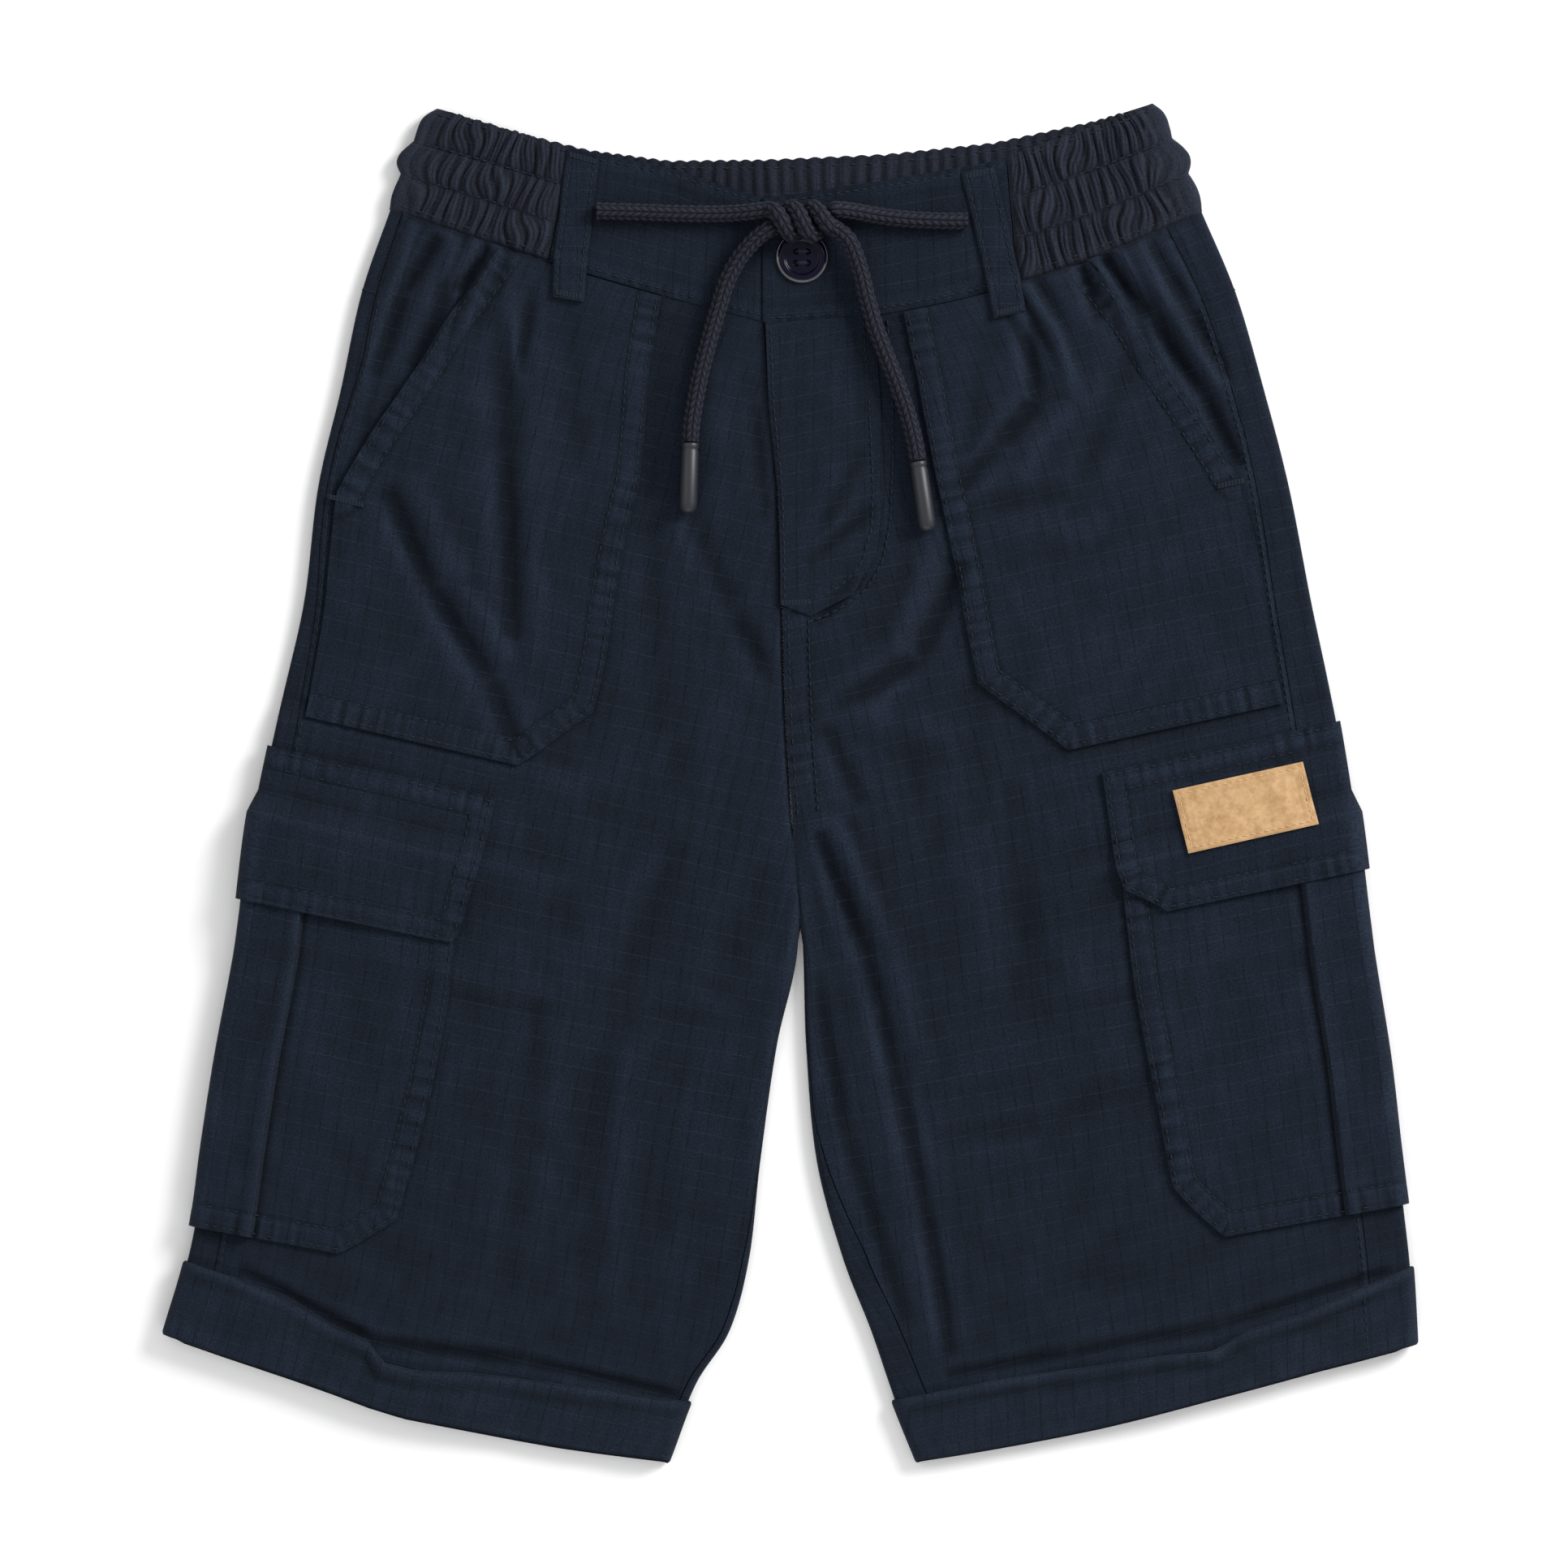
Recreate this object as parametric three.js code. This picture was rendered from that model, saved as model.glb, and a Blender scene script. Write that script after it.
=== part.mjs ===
// Child's cargo shorts laid flat, face up, waist towards +Y. Millimetres, +Z up from the surface they lie on.
// Each leg is a flattened tube of cloth. Image left is the wearer's right, so right pieces lie at -X.
import * as THREE from "three";

// Cloth and gaps
const CLOTH = 1.2;
const GAP = 0.3;
const EDGE_RADIUS = 2;
const QUARTER = (Math.PI * EDGE_RADIUS) / 2;
const FLAT_TOP = 2 * EDGE_RADIUS;
const ON_PANEL = GAP + CLOTH;
const CENTRE_GAP = 0.2;
const SEAM_HALF = GAP / 2;

// The two legs, a row for each station from the waist seam down to the hem: outer edge, inner edge, sag of the row.
const RIGHT_LEG = [
  { outX: -118.3, outY: 170.5, inX: -7.9, inY: 137.4, sag: 1.5 },
  { outX: -127, outY: 145.3, inX: -6.2, inY: 114.1, sag: 0.5 },
  { outX: -133.2, outY: 116.5, inX: -4.1, inY: 85.3, sag: 0 },
  { outX: -139.9, outY: 87.7, inX: -2.9, inY: 53.2, sag: 0 },
  { outX: -144, outY: 54.1, inX: -1.9, inY: 20.5, sag: 0 },
  { outX: -151, outY: 22.9, inX: 0.2, inY: -11.9, sag: 0 },
  { outX: -157.9, outY: -10.7, inX: 2.2, inY: -47.4, sag: 0 },
  { outX: -162.5, outY: -46.7, inX: -4.1, inY: -77.9, sag: 0 },
  { outX: -168.7, outY: -80.3, inX: -8.9, inY: -111.5, sag: 0 },
  { outX: -172.8, outY: -106.7, inX: -12.2, inY: -140.3, sag: 0 },
  { outX: -175.4, outY: -125.9, inX: -18, inY: -161.9, sag: 0 },
  { outX: -178.6, outY: -141.7, inX: -28.1, inY: -178, sag: 0 },
  { outX: -184.6, outY: -161.9, inX: -36.5, inY: -199.6, sag: 3 },
];
const LEFT_LEG = [
  { outX: 121.4, outY: 170, inX: -7.3, inY: 136.6, sag: 7.5 },
  { outX: 131.8, outY: 145.3, inX: -5.6, inY: 114.1, sag: 4 },
  { outX: 140.2, outY: 116.5, inX: -3.5, inY: 85.3, sag: 2 },
  { outX: 147.6, outY: 87.7, inX: -2.3, inY: 53.2, sag: 0 },
  { outX: 154.1, outY: 54.1, inX: -1.3, inY: 20.5, sag: 0 },
  { outX: 160.6, outY: 22.9, inX: 0.9, inY: -11.9, sag: 0 },
  { outX: 166.1, outY: -10.7, inX: 3.6, inY: -47.4, sag: 0 },
  { outX: 170.6, outY: -46.7, inX: 4.6, inY: -77.9, sag: 0 },
  { outX: 175.9, outY: -80.3, inX: 7.7, inY: -111.5, sag: 0 },
  { outX: 179, outY: -106.7, inX: 15.4, inY: -140.3, sag: 0 },
  { outX: 181.4, outY: -125.9, inX: 23.8, inY: -161.9, sag: 0 },
  { outX: 183.4, outY: -144.1, inX: 31, inY: -182.8, sag: 0 },
  { outX: 184.6, outY: -164.8, inX: 37.7, inY: -199.6, sag: 3 },
];
const HEM_STATION = RIGHT_LEG.length - 1;

// Where the legs part: above the first station the front and the back run on into the other leg.
const CROTCH = { joined: 5, parted: 5.6 };

// Side seam and inseam, how far each lies on the front from the folded edge, by station.
const SEAMS = [
  { station: 0, sideRight: 5, sideLeft: 12, inseamRight: 0, inseamLeft: 0 },
  { station: 1.6, sideRight: 6, sideLeft: 10.5, inseamRight: 0, inseamLeft: 0 },
  { station: 2.4, sideRight: 4, sideLeft: 10.3, inseamRight: 0, inseamLeft: 0 },
  { station: 3.5, sideRight: 4, sideLeft: 11.4, inseamRight: 0, inseamLeft: 0 },
  { station: 5.2, sideRight: 7.5, sideLeft: 13.5, inseamRight: 0, inseamLeft: 0 },
  { station: 7.6, sideRight: 8, sideLeft: 14, inseamRight: 0, inseamLeft: 2 },
  { station: 9, sideRight: 9, sideLeft: 14, inseamRight: 3, inseamLeft: 8 },
  { station: 12, sideRight: 10, sideLeft: 14, inseamRight: 4, inseamLeft: 12 },
];

// How far the layers under a leg hold it off the surface, by station: flap, pocket and turned-up hem.
const LIFT = [
  { station: 0, height: 0 },
  { station: 4.9, height: 0 },
  { station: 5.1, height: ON_PANEL },
  { station: 5.75, height: ON_PANEL },
  { station: 5.95, height: 2 * ON_PANEL },
  { station: 6.9, height: 2 * ON_PANEL },
  { station: 7.1, height: ON_PANEL },
  { station: 13, height: ON_PANEL },
];

// Largest soft folds of the fronts: a ridge from one point to the next.
const FOLDS = [
  { x0: 9, y0: -14, x1: 20, y1: -47, width: 8, height: 1.1 },
  { x0: 20, y0: -47, x1: 26, y1: -95, width: 9, height: 1.3 },
  { x0: 26, y0: -95, x1: 35, y1: -139, width: 9, height: 1.3 },
  { x0: 35, y0: -139, x1: 46, y1: -162, width: 8, height: 1 },
  { x0: -79, y0: -94, x1: -88, y1: -146, width: 8, height: 0.9 },
  { x0: -24, y0: -104, x1: -23, y1: -134, width: 7, height: 0.8 },
  { x0: -6, y0: -22, x1: -22, y1: -52, width: 8, height: 0.9 },
];

const lerp = (a, b, t) => a + (b - a) * t;
const clamp01 = (t) => Math.min(1, Math.max(0, t));
const ease = (a, b, x) => {
  const t = clamp01((x - a) / (b - a));
  return t * t * (3 - 2 * t);
};

// Value of one column of a table at a place between its rows, in straight steps.
function along(table, key, at, column) {
  let i = 1;
  while (i < table.length - 1 && table[i][key] < at) i += 1;
  const a = table[i - 1];
  const b = table[i];
  return lerp(a[column], b[column], clamp01((at - a[key]) / (b[key] - a[key])));
}

// Value of one column of a table of equal steps, as a smooth curve through its rows.
function smooth(table, at, column) {
  const i = Math.min(table.length - 2, Math.max(0, Math.floor(at)));
  const f = at - i;
  const b = table[i][column];
  const c = table[i + 1][column];
  const a = i > 0 ? table[i - 1][column] : 2 * b - c;
  const d = i + 2 < table.length ? table[i + 2][column] : 2 * c - b;
  if (f > 1) return c + (f - 1) * (c - b);
  return 0.5 * (2 * b + (c - a) * f + (2 * a - 5 * b + 4 * c - d) * f * f + (3 * b - a - 3 * c + d) * f ** 3);
}

// A place on a flattened tube's section: p is the way from the outer fold, positive over the top, negative beneath;
// off is the distance outwards from the cloth's outer face. Where joined is 1 the inner side runs on flat.
function section(width, p, off, joined) {
  const side = p < 0 ? -1 : 1;
  const way = Math.abs(p);
  const reach = width - 2 * EDGE_RADIUS;
  const radius = EDGE_RADIUS + off;
  if (way <= QUARTER) {
    const turn = way / EDGE_RADIUS;
    return { a: EDGE_RADIUS - radius * Math.cos(turn), z: EDGE_RADIUS + side * radius * Math.sin(turn) };
  }
  if (way <= QUARTER + reach) return { a: EDGE_RADIUS + way - QUARTER, z: EDGE_RADIUS + side * radius };
  const past = way - QUARTER - reach;
  if (past > 2 * QUARTER) return { a: width - EDGE_RADIUS - past + 2 * QUARTER, z: EDGE_RADIUS - side * radius };
  const turn = past / EDGE_RADIUS;
  const a = width - EDGE_RADIUS + lerp(radius * Math.sin(turn), past, joined);
  return { a, z: EDGE_RADIUS + side * lerp(radius * Math.cos(turn), radius, joined) };
}

const legTable = (leg) => (leg < 0 ? RIGHT_LEG : LEFT_LEG);
const sideOf = (leg) => (leg < 0 ? "Right" : "Left");
const lift = (station) => along(LIFT, "station", station, "height");
const joinedAt = (station) => 1 - ease(CROTCH.joined, CROTCH.parted, station);

// Plan of one leg's row: its outer end, its direction and its width.
function row(leg, station) {
  const table = legTable(leg);
  const outX = smooth(table, station, "outX");
  const outY = smooth(table, station, "outY");
  const dx = smooth(table, station, "inX") - outX;
  const dy = smooth(table, station, "inY") - outY;
  const width = Math.hypot(dx, dy);
  return { outX, outY, dirX: dx / width, dirY: dy / width, width, sag: smooth(table, station, "sag") };
}

function planOf(r, a) {
  const s = clamp01(a / r.width);
  return [r.outX + r.dirX * a, r.outY + r.dirY * a - r.sag * 4 * s * (1 - s)];
}

// Height of the folds over a point of the front.
function foldHeight(x, y) {
  let sum = 0;
  for (const f of FOLDS) {
    const dx = f.x1 - f.x0;
    const dy = f.y1 - f.y0;
    const t = clamp01(((x - f.x0) * dx + (y - f.y0) * dy) / (dx * dx + dy * dy));
    const far = Math.hypot(x - f.x0 - t * dx, y - f.y0 - t * dy);
    sum = Math.max(sum, f.height * Math.exp(-((far / f.width) ** 2)));
  }
  return sum;
}

// A point of a leg: station down the leg, way round from the outer fold, distance off the cloth's outer face.
function legPoint(leg, station, p, off) {
  const r = row(leg, station);
  const at = section(r.width, p, off, joinedAt(station));
  const [x, y] = planOf(r, at.a);
  const onTop = ease(QUARTER, QUARTER + 8, p) * ease(0, 8, r.width - at.a);
  return [x, y, at.z + lift(station) + onTop * foldHeight(x, y)];
}

const sideSeam = (leg, station) => along(SEAMS, "station", station, "side" + sideOf(leg));
const inseam = (leg, station) => along(SEAMS, "station", station, "inseam" + sideOf(leg));

// Way round to the inner seam, from the front and from beneath.
function frontEnd(leg, station) {
  const flat = QUARTER + row(leg, station).width - 2 * EDGE_RADIUS;
  const parted = QUARTER - inseam(leg, station) - SEAM_HALF;
  return flat + lerp(parted, EDGE_RADIUS - CENTRE_GAP, joinedAt(station));
}
function backEnd(leg, station) {
  const flat = QUARTER + row(leg, station).width - 2 * EDGE_RADIUS;
  const parted = QUARTER + inseam(leg, station) - SEAM_HALF;
  return flat + lerp(parted, EDGE_RADIUS - CENTRE_GAP, joinedAt(station));
}

const group = new THREE.Group();
group.name = "cargo_shorts";

// Brings the middle of the outline on to the origin.
const CENTRING = { x: 0.14, y: 0.04 };
group.position.set(CENTRING.x, CENTRING.y, 0);

const FINISH = {
  cloth: { color: 0x1f2735, roughness: 0.92, metalness: 0 },
  cord: { color: 0x2b3038, roughness: 0.9, metalness: 0 },
  leather: { color: 0xb98c57, roughness: 0.7, metalness: 0 },
  plastic: { color: 0x14161f, roughness: 0.2, metalness: 0 },
  metal: { color: 0x3a3d42, roughness: 0.4, metalness: 0.6 },
};

function add(name, geometry, finish) {
  const mesh = new THREE.Mesh(geometry, new THREE.MeshStandardMaterial(FINISH[finish]));
  mesh.name = name;
  group.add(mesh);
  return mesh;
}

// A wall of cloth: at(row, column, face) gives a point, face 0 outside and 1 inside. All four edges are closed.
function wall(name, rows, columns, finish, at) {
  const points = [];
  for (const face of [0, 1])
    for (const i of rows) for (const j of columns) points.push(at(i, j, face));
  const across = columns.length;
  const layer = rows.length * across;
  const index = [];
  const quad = (a, b, c, d) => index.push(a, b, c, a, c, d);
  for (let i = 0; i + 1 < rows.length; i += 1)
    for (let j = 0; j + 1 < across; j += 1) {
      const k = i * across + j;
      quad(k, k + across, k + across + 1, k + 1);
      quad(layer + k, layer + k + 1, layer + k + across + 1, layer + k + across);
    }
  for (let j = 0; j + 1 < across; j += 1) {
    const k = layer - across + j;
    quad(j, j + 1, layer + j + 1, layer + j);
    quad(k, layer + k, layer + k + 1, k + 1);
  }
  for (let i = 0; i + 1 < rows.length; i += 1) {
    const k = i * across;
    const e = k + across - 1;
    quad(k, layer + k, layer + k + across, k + across);
    quad(e, e + across, layer + e + across, layer + e);
  }
  let volume = 0;
  for (let t = 0; t < index.length; t += 3) {
    const [a, b, c] = [points[index[t]], points[index[t + 1]], points[index[t + 2]]];
    volume += a[0] * (b[1] * c[2] - b[2] * c[1]);
    volume += a[1] * (b[2] * c[0] - b[0] * c[2]);
    volume += a[2] * (b[0] * c[1] - b[1] * c[0]);
  }
  if (volume < 0) index.reverse();
  const geometry = new THREE.BufferGeometry();
  geometry.setAttribute("position", new THREE.Float32BufferAttribute(points.flat(), 3));
  geometry.setIndex(index);
  geometry.computeVertexNormals();
  return add(name, geometry, finish);
}

const steps = (from, to, count) => Array.from({ length: count + 1 }, (_, i) => lerp(from, to, i / count));
const depth = (face) => (face === 0 ? 0 : -CLOTH);

// Fronts and backs. The back's side seam rolls on to the front, and so does its inseam near the hem.
const BODY_STATIONS = [0, 0.6, 1.3, 2, 2.7, 3.4, 4.1, 4.9, 5.1, 5.35, 5.6, 5.75, 5.95, 6.4, 6.9, 7.1, 7.8, 8.5, 9.2, 10, 10.8];
const BODY_END = 11.85;
const FRONT_STATIONS = [...BODY_STATIONS, 11.3, BODY_END];
const YOKE_END = 0.95;
const YOKE_GAP = 0.012;
const YOKE_FROM = 0.035;
const BACK_STATIONS = [YOKE_END + YOKE_GAP, ...BODY_STATIONS.slice(2), 11.3, BODY_END];
const FRONT_COLUMNS = [...steps(0, 0.94, 14), 0.97, 0.985, 1];
const EDGE_TURNS = [1, 0.5, 0, -0.5, -1];

function addFront(leg, name) {
  wall(name, FRONT_STATIONS, FRONT_COLUMNS, "cloth", (station, c, face) => {
    const p = lerp(sideSeam(leg, station), frontEnd(leg, station), c);
    return legPoint(leg, station, p, depth(face));
  });
}

// The back's columns: its strip on the front, the outer fold, the flat rear, then the inner fold up to the inseam.
const BACK_COLUMNS = [
  { part: "strip", at: 0 },
  ...EDGE_TURNS.map((at) => ({ part: "fold", at })),
  ...[0.2, 0.45, 0.7, 1].map((at) => ({ part: "rear", at })),
  ...[0.25, 0.5, 0.75, 1].map((at) => ({ part: "inner", at })),
];
function backWay(leg, station, column) {
  if (column.part === "strip") return sideSeam(leg, station) - GAP;
  if (column.part === "fold") return column.at * QUARTER;
  const flat = row(leg, station).width - 2 * EDGE_RADIUS;
  if (column.part === "rear") return -QUARTER - column.at * flat;
  return -lerp(QUARTER + flat, backEnd(leg, station), column.at);
}
function addBack(leg, name, stations) {
  wall(name, stations, BACK_COLUMNS, "cloth", (station, column, face) =>
    legPoint(leg, station, backWay(leg, station, column), depth(face)),
  );
}
for (const [leg, side] of [[-1, "right"], [1, "left"]]) {
  addFront(leg, "front_" + side);
  addBack(leg, "back_" + side, BACK_STATIONS);
  addBack(leg, "yoke_" + side, [YOKE_FROM, YOKE_END / 2, YOKE_END]);
}

// Fly overlap, stitched down over the centre seam, its lower end rounded to the seam.
const FLY = [
  { freeX: -7.4, freeY: 136, sewnX: 24.5, sewnY: 138.6 },
  { freeX: -6.5, freeY: 112, sewnX: 26.6, sewnY: 113 },
  { freeX: -3.8, freeY: 86.5, sewnX: 27.6, sewnY: 87 },
  { freeX: -3.2, freeY: 72, sewnX: 25.4, sewnY: 68 },
  { freeX: -3.1, freeY: 62, sewnX: 18.5, sewnY: 56 },
  { freeX: -3, freeY: 53, sewnX: 6, sewnY: 49.6 },
];
const FLY_CLOTH = 1;
wall("fly_overlap", steps(0, FLY.length - 1, FLY.length - 1), steps(0, 1, 4), "cloth", (i, c, face) => {
  const f = FLY[i];
  const z = FLAT_TOP + GAP + (face === 0 ? FLY_CLOTH : 0);
  return [lerp(f.freeX, f.sewnX, c), lerp(f.freeY, f.sewnY, c), z];
});

// Patch pockets, a row for each place down the leg: slanted opening or side seam, and inner edge with its cut corner.
const PATCH_POCKET = {
  right: [
    { station: 0.05, outer: 34, inner: 84 },
    { station: 0.7, outer: 29.5, inner: 87 },
    { station: 1.46, outer: 22.5, inner: 90 },
    { station: 2.2, outer: 13.5, inner: 92.5 },
    { station: 3, outer: 6, inner: 92.5 },
    { station: 3.7, outer: 6, inner: 91.5 },
    { station: 4.4, outer: 7, inner: 90.5 },
    { station: 4.9, outer: 8, inner: 77 },
    { station: 5.04, outer: 8, inner: 72.5 },
  ],
  left: [
    { station: 0.05, outer: 35, inner: 91.5 },
    { station: 0.7, outer: 31.5, inner: 95.5 },
    { station: 1.4, outer: 27.5, inner: 98.5 },
    { station: 2.1, outer: 20.5, inner: 100.3 },
    { station: 2.8, outer: 14.3, inner: 101.5 },
    { station: 3.5, outer: 13, inner: 102 },
    { station: 4.1, outer: 13.5, inner: 101.5 },
    { station: 4.72, outer: 14.5, inner: 84 },
    { station: 4.88, outer: 14.5, inner: 79.5 },
  ],
};
for (const [leg, side] of [[-1, "right"], [1, "left"]]) {
  const table = PATCH_POCKET[side];
  wall("patch_pocket_" + side, table, steps(0, 1, 7), "cloth", (r, c, face) => {
    const p = lerp(r.outer, r.inner, c) + QUARTER - EDGE_RADIUS;
    return legPoint(leg, r.station, p, GAP + (face === 0 ? CLOTH : 0));
  });
}

// Cargo pockets go round the outer fold. The outer part stands a cloth higher, as a pleat whose fold faces inwards.
const PLEAT_AT = 17.6;
const PLEAT_STEP = 1.2;
const PLEAT_RISE = 1.2;
const REAR_REACH = 46;
function pleatRise(p) {
  if (p >= PLEAT_AT + PLEAT_STEP) return 0;
  if (p >= PLEAT_AT) return (PLEAT_RISE * (PLEAT_AT + PLEAT_STEP - p)) / PLEAT_STEP;
  return PLEAT_RISE * clamp01((p + QUARTER) / (2 * QUARTER));
}
const WRAP_COLUMNS = [
  { part: "rear", at: 1 },
  { part: "rear", at: 0.5 },
  { part: "fold", at: -1 },
  { part: "fold", at: -0.5 },
  { part: "fold", at: 0 },
  { part: "fold", at: 0.5 },
  { part: "fold", at: 1 },
  { part: "pleat", at: 0 },
  { part: "pleat", at: 1 },
  { part: "face", at: 0.3 },
  { part: "face", at: 0.65 },
  { part: "face", at: 1 },
];
function wrapWay(column, rear, inner) {
  if (column.part === "rear") return -QUARTER - column.at * (rear - QUARTER);
  if (column.part === "fold") return column.at * QUARTER;
  if (column.part === "pleat") return PLEAT_AT + column.at * PLEAT_STEP;
  return lerp(PLEAT_AT + PLEAT_STEP, inner + QUARTER - EDGE_RADIUS, column.at);
}
const CARGO_POCKET = {
  right: [
    { station: 6.02, inner: 63, rear: REAR_REACH },
    { station: 6.5, inner: 63, rear: REAR_REACH },
    { station: 6.9, inner: 63.2, rear: REAR_REACH },
    { station: 7.1, inner: 63.4, rear: REAR_REACH },
    { station: 7.9, inner: 63.5, rear: REAR_REACH },
    { station: 8.7, inner: 61.5, rear: REAR_REACH },
    { station: 9.46, inner: 59, rear: REAR_REACH },
    { station: 9.85, inner: 51, rear: 38 },
    { station: 10.2, inner: 43.5, rear: 30 },
  ],
  left: [
    { station: 6.02, inner: 70.5, rear: REAR_REACH },
    { station: 6.5, inner: 70.3, rear: REAR_REACH },
    { station: 6.9, inner: 70.2, rear: REAR_REACH },
    { station: 7.1, inner: 70.1, rear: REAR_REACH },
    { station: 7.7, inner: 69.6, rear: REAR_REACH },
    { station: 8.3, inner: 68.6, rear: REAR_REACH },
    { station: 8.96, inner: 67.3, rear: REAR_REACH },
    { station: 9.4, inner: 60.5, rear: 38 },
    { station: 9.8, inner: 54, rear: 30 },
  ],
};
const HEM_DROP = { right: 0.12, left: 0.14 };
for (const [leg, side] of [[-1, "right"], [1, "left"]]) {
  wall("cargo_pocket_" + side, CARGO_POCKET[side], WRAP_COLUMNS, "cloth", (r, column, face) => {
    const p = wrapWay(column, r.rear, r.inner);
    const drop = HEM_DROP[side] * ease(9, 10, r.station) * (1 - clamp01(p / (r.inner + 1)));
    return legPoint(leg, r.station + drop, p, GAP + (face === 0 ? CLOTH + pleatRise(p) : pleatRise(p)));
  });
}

// Flaps: sewn down along the top, then over the pocket and its pleat.
const FLAP_RIDE = { low: 5.75, high: 5.95 };
const FLAP = {
  right: [
    { station: 5.36, inner: 68.3, rear: 50 },
    { station: FLAP_RIDE.low, inner: 68, rear: 50 },
    { station: FLAP_RIDE.high, inner: 67.5, rear: 50 },
    { station: 6.3, inner: 65.5, rear: 50 },
    { station: 6.56, inner: 64, rear: 50 },
    { station: 6.66, inner: 62, rear: 47 },
  ],
  left: [
    { station: 5.14, inner: 71, rear: 50 },
    { station: FLAP_RIDE.low, inner: 71.5, rear: 50 },
    { station: FLAP_RIDE.high, inner: 71.5, rear: 50 },
    { station: 6.16, inner: 70, rear: 50 },
    { station: 6.3, inner: 63, rear: 50 },
    { station: 6.42, inner: 58, rear: 47 },
  ],
};
function flapOff(station, p) {
  const over = clamp01((station - FLAP_RIDE.low) / (FLAP_RIDE.high - FLAP_RIDE.low));
  return GAP + over * (ON_PANEL + pleatRise(p));
}
for (const [leg, side] of [[-1, "right"], [1, "left"]]) {
  wall("cargo_flap_" + side, FLAP[side], WRAP_COLUMNS, "cloth", (r, column, face) => {
    const p = wrapWay(column, r.rear, r.inner);
    return legPoint(leg, r.station, p, flapOff(r.station, p) + (face === 0 ? CLOTH : 0));
  });
}

// Label patch on the left flap, a plain rectangle of leather-like sheet.
const LABEL = { top: 5.42, bottom: 5.97, near: 12, far: 51.4, lean: 1.6, sheet: 0.9 };
const LABEL_ROWS = [LABEL.top, FLAP_RIDE.low, FLAP_RIDE.high, LABEL.bottom];
const LABEL_STEPS = [
  { way: LABEL.near, fixed: 0 },
  { way: PLEAT_AT, fixed: 1 },
  { way: PLEAT_AT + PLEAT_STEP, fixed: 1 },
  { way: 30, fixed: 0 },
  { way: 40, fixed: 0 },
  { way: LABEL.far, fixed: 0 },
];
wall("label_patch", LABEL_ROWS, LABEL_STEPS, "leather", (station, c, face) => {
  const lean = (1 - c.fixed) * LABEL.lean * ((station - LABEL.top) / (LABEL.bottom - LABEL.top));
  const p = c.way + QUARTER - EDGE_RADIUS - lean - c.fixed * (QUARTER - EDGE_RADIUS);
  return legPoint(1, station, p, flapOff(station, p) + ON_PANEL + (face === 0 ? LABEL.sheet : 0));
});

// Turned-up hems, a ring round each leg with a slit at the inseam. Top and bottom edge by the share of the way across.
const CUFF = {
  right: [
    { across: 0, top: 10.98, bottom: 12.06 },
    { across: 0.2, top: 11.12, bottom: 12.08 },
    { across: 0.3, top: 11.34, bottom: 12.1 },
    { across: 0.38, top: 11.42, bottom: 12.14 },
    { across: 0.41, top: 11.62, bottom: 12.16 },
    { across: 0.48, top: 11.62, bottom: 12.18 },
    { across: 0.6, top: 11.48, bottom: 12.14 },
    { across: 0.8, top: 11.36, bottom: 12.1 },
    { across: 1, top: 11.24, bottom: 12.03 },
  ],
  left: [
    { across: 0, top: 10.94, bottom: 12.06 },
    { across: 0.2, top: 11.2, bottom: 12.0 },
    { across: 0.33, top: 11.24, bottom: 12.0 },
    { across: 0.39, top: 11.4, bottom: 12.0 },
    { across: 0.5, top: 11.28, bottom: 12.02 },
    { across: 0.62, top: 11.2, bottom: 12.04 },
    { across: 0.8, top: 11.06, bottom: 12.04 },
    { across: 0.9, top: 11.02, bottom: 12.04 },
    { across: 1, top: 10.98, bottom: 12.04 },
  ],
};
const CUFF_COLUMNS = [
  ...[0.94, 0.75, 0.5, 0.25].map((at) => ({ part: "inner", at })),
  ...[0.99, 0.8, 0.6, 0.45, 0.4, 0.36, 0.3, 0.2, 0.1].map((at) => ({ part: "top", at })),
  ...EDGE_TURNS.map((at) => ({ part: "fold", at })),
  ...[0.1, 0.3, 0.5, 0.7, 0.9].map((at) => ({ part: "rear", at })),
  ...[0, 0.25, 0.5, 0.75, 0.94].map((at) => ({ part: "innerRear", at })),
];
const CUFF_REAR_DROP = 0.04;
function cuffWay(width, column) {
  const flat = width - 2 * EDGE_RADIUS;
  if (column.part === "fold") return column.at * QUARTER;
  if (column.part === "top") return QUARTER + column.at * flat;
  if (column.part === "rear") return -QUARTER - column.at * flat;
  if (column.part === "inner") return QUARTER + flat + column.at * QUARTER;
  return -(QUARTER + flat + column.at * QUARTER);
}
for (const [leg, side] of [[-1, "right"], [1, "left"]]) {
  wall("cuff_" + side, [0, 0.5, 1], CUFF_COLUMNS, "cloth", (down, column, face) => {
    const across = clamp01(section(row(leg, HEM_STATION).width, cuffWay(row(leg, HEM_STATION).width, column), 0, 0).a /
      row(leg, HEM_STATION).width);
    const rear = column.part === "rear" || column.part === "innerRear" ? CUFF_REAR_DROP : 0;
    const top = along(CUFF[side], "across", across, "top");
    const bottom = along(CUFF[side], "across", across, "bottom") + rear;
    const station = lerp(top, bottom, down);
    return legPoint(leg, station, cuffWay(row(leg, station).width, column), GAP + (face === 0 ? CLOTH : 0));
  });
}

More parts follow.
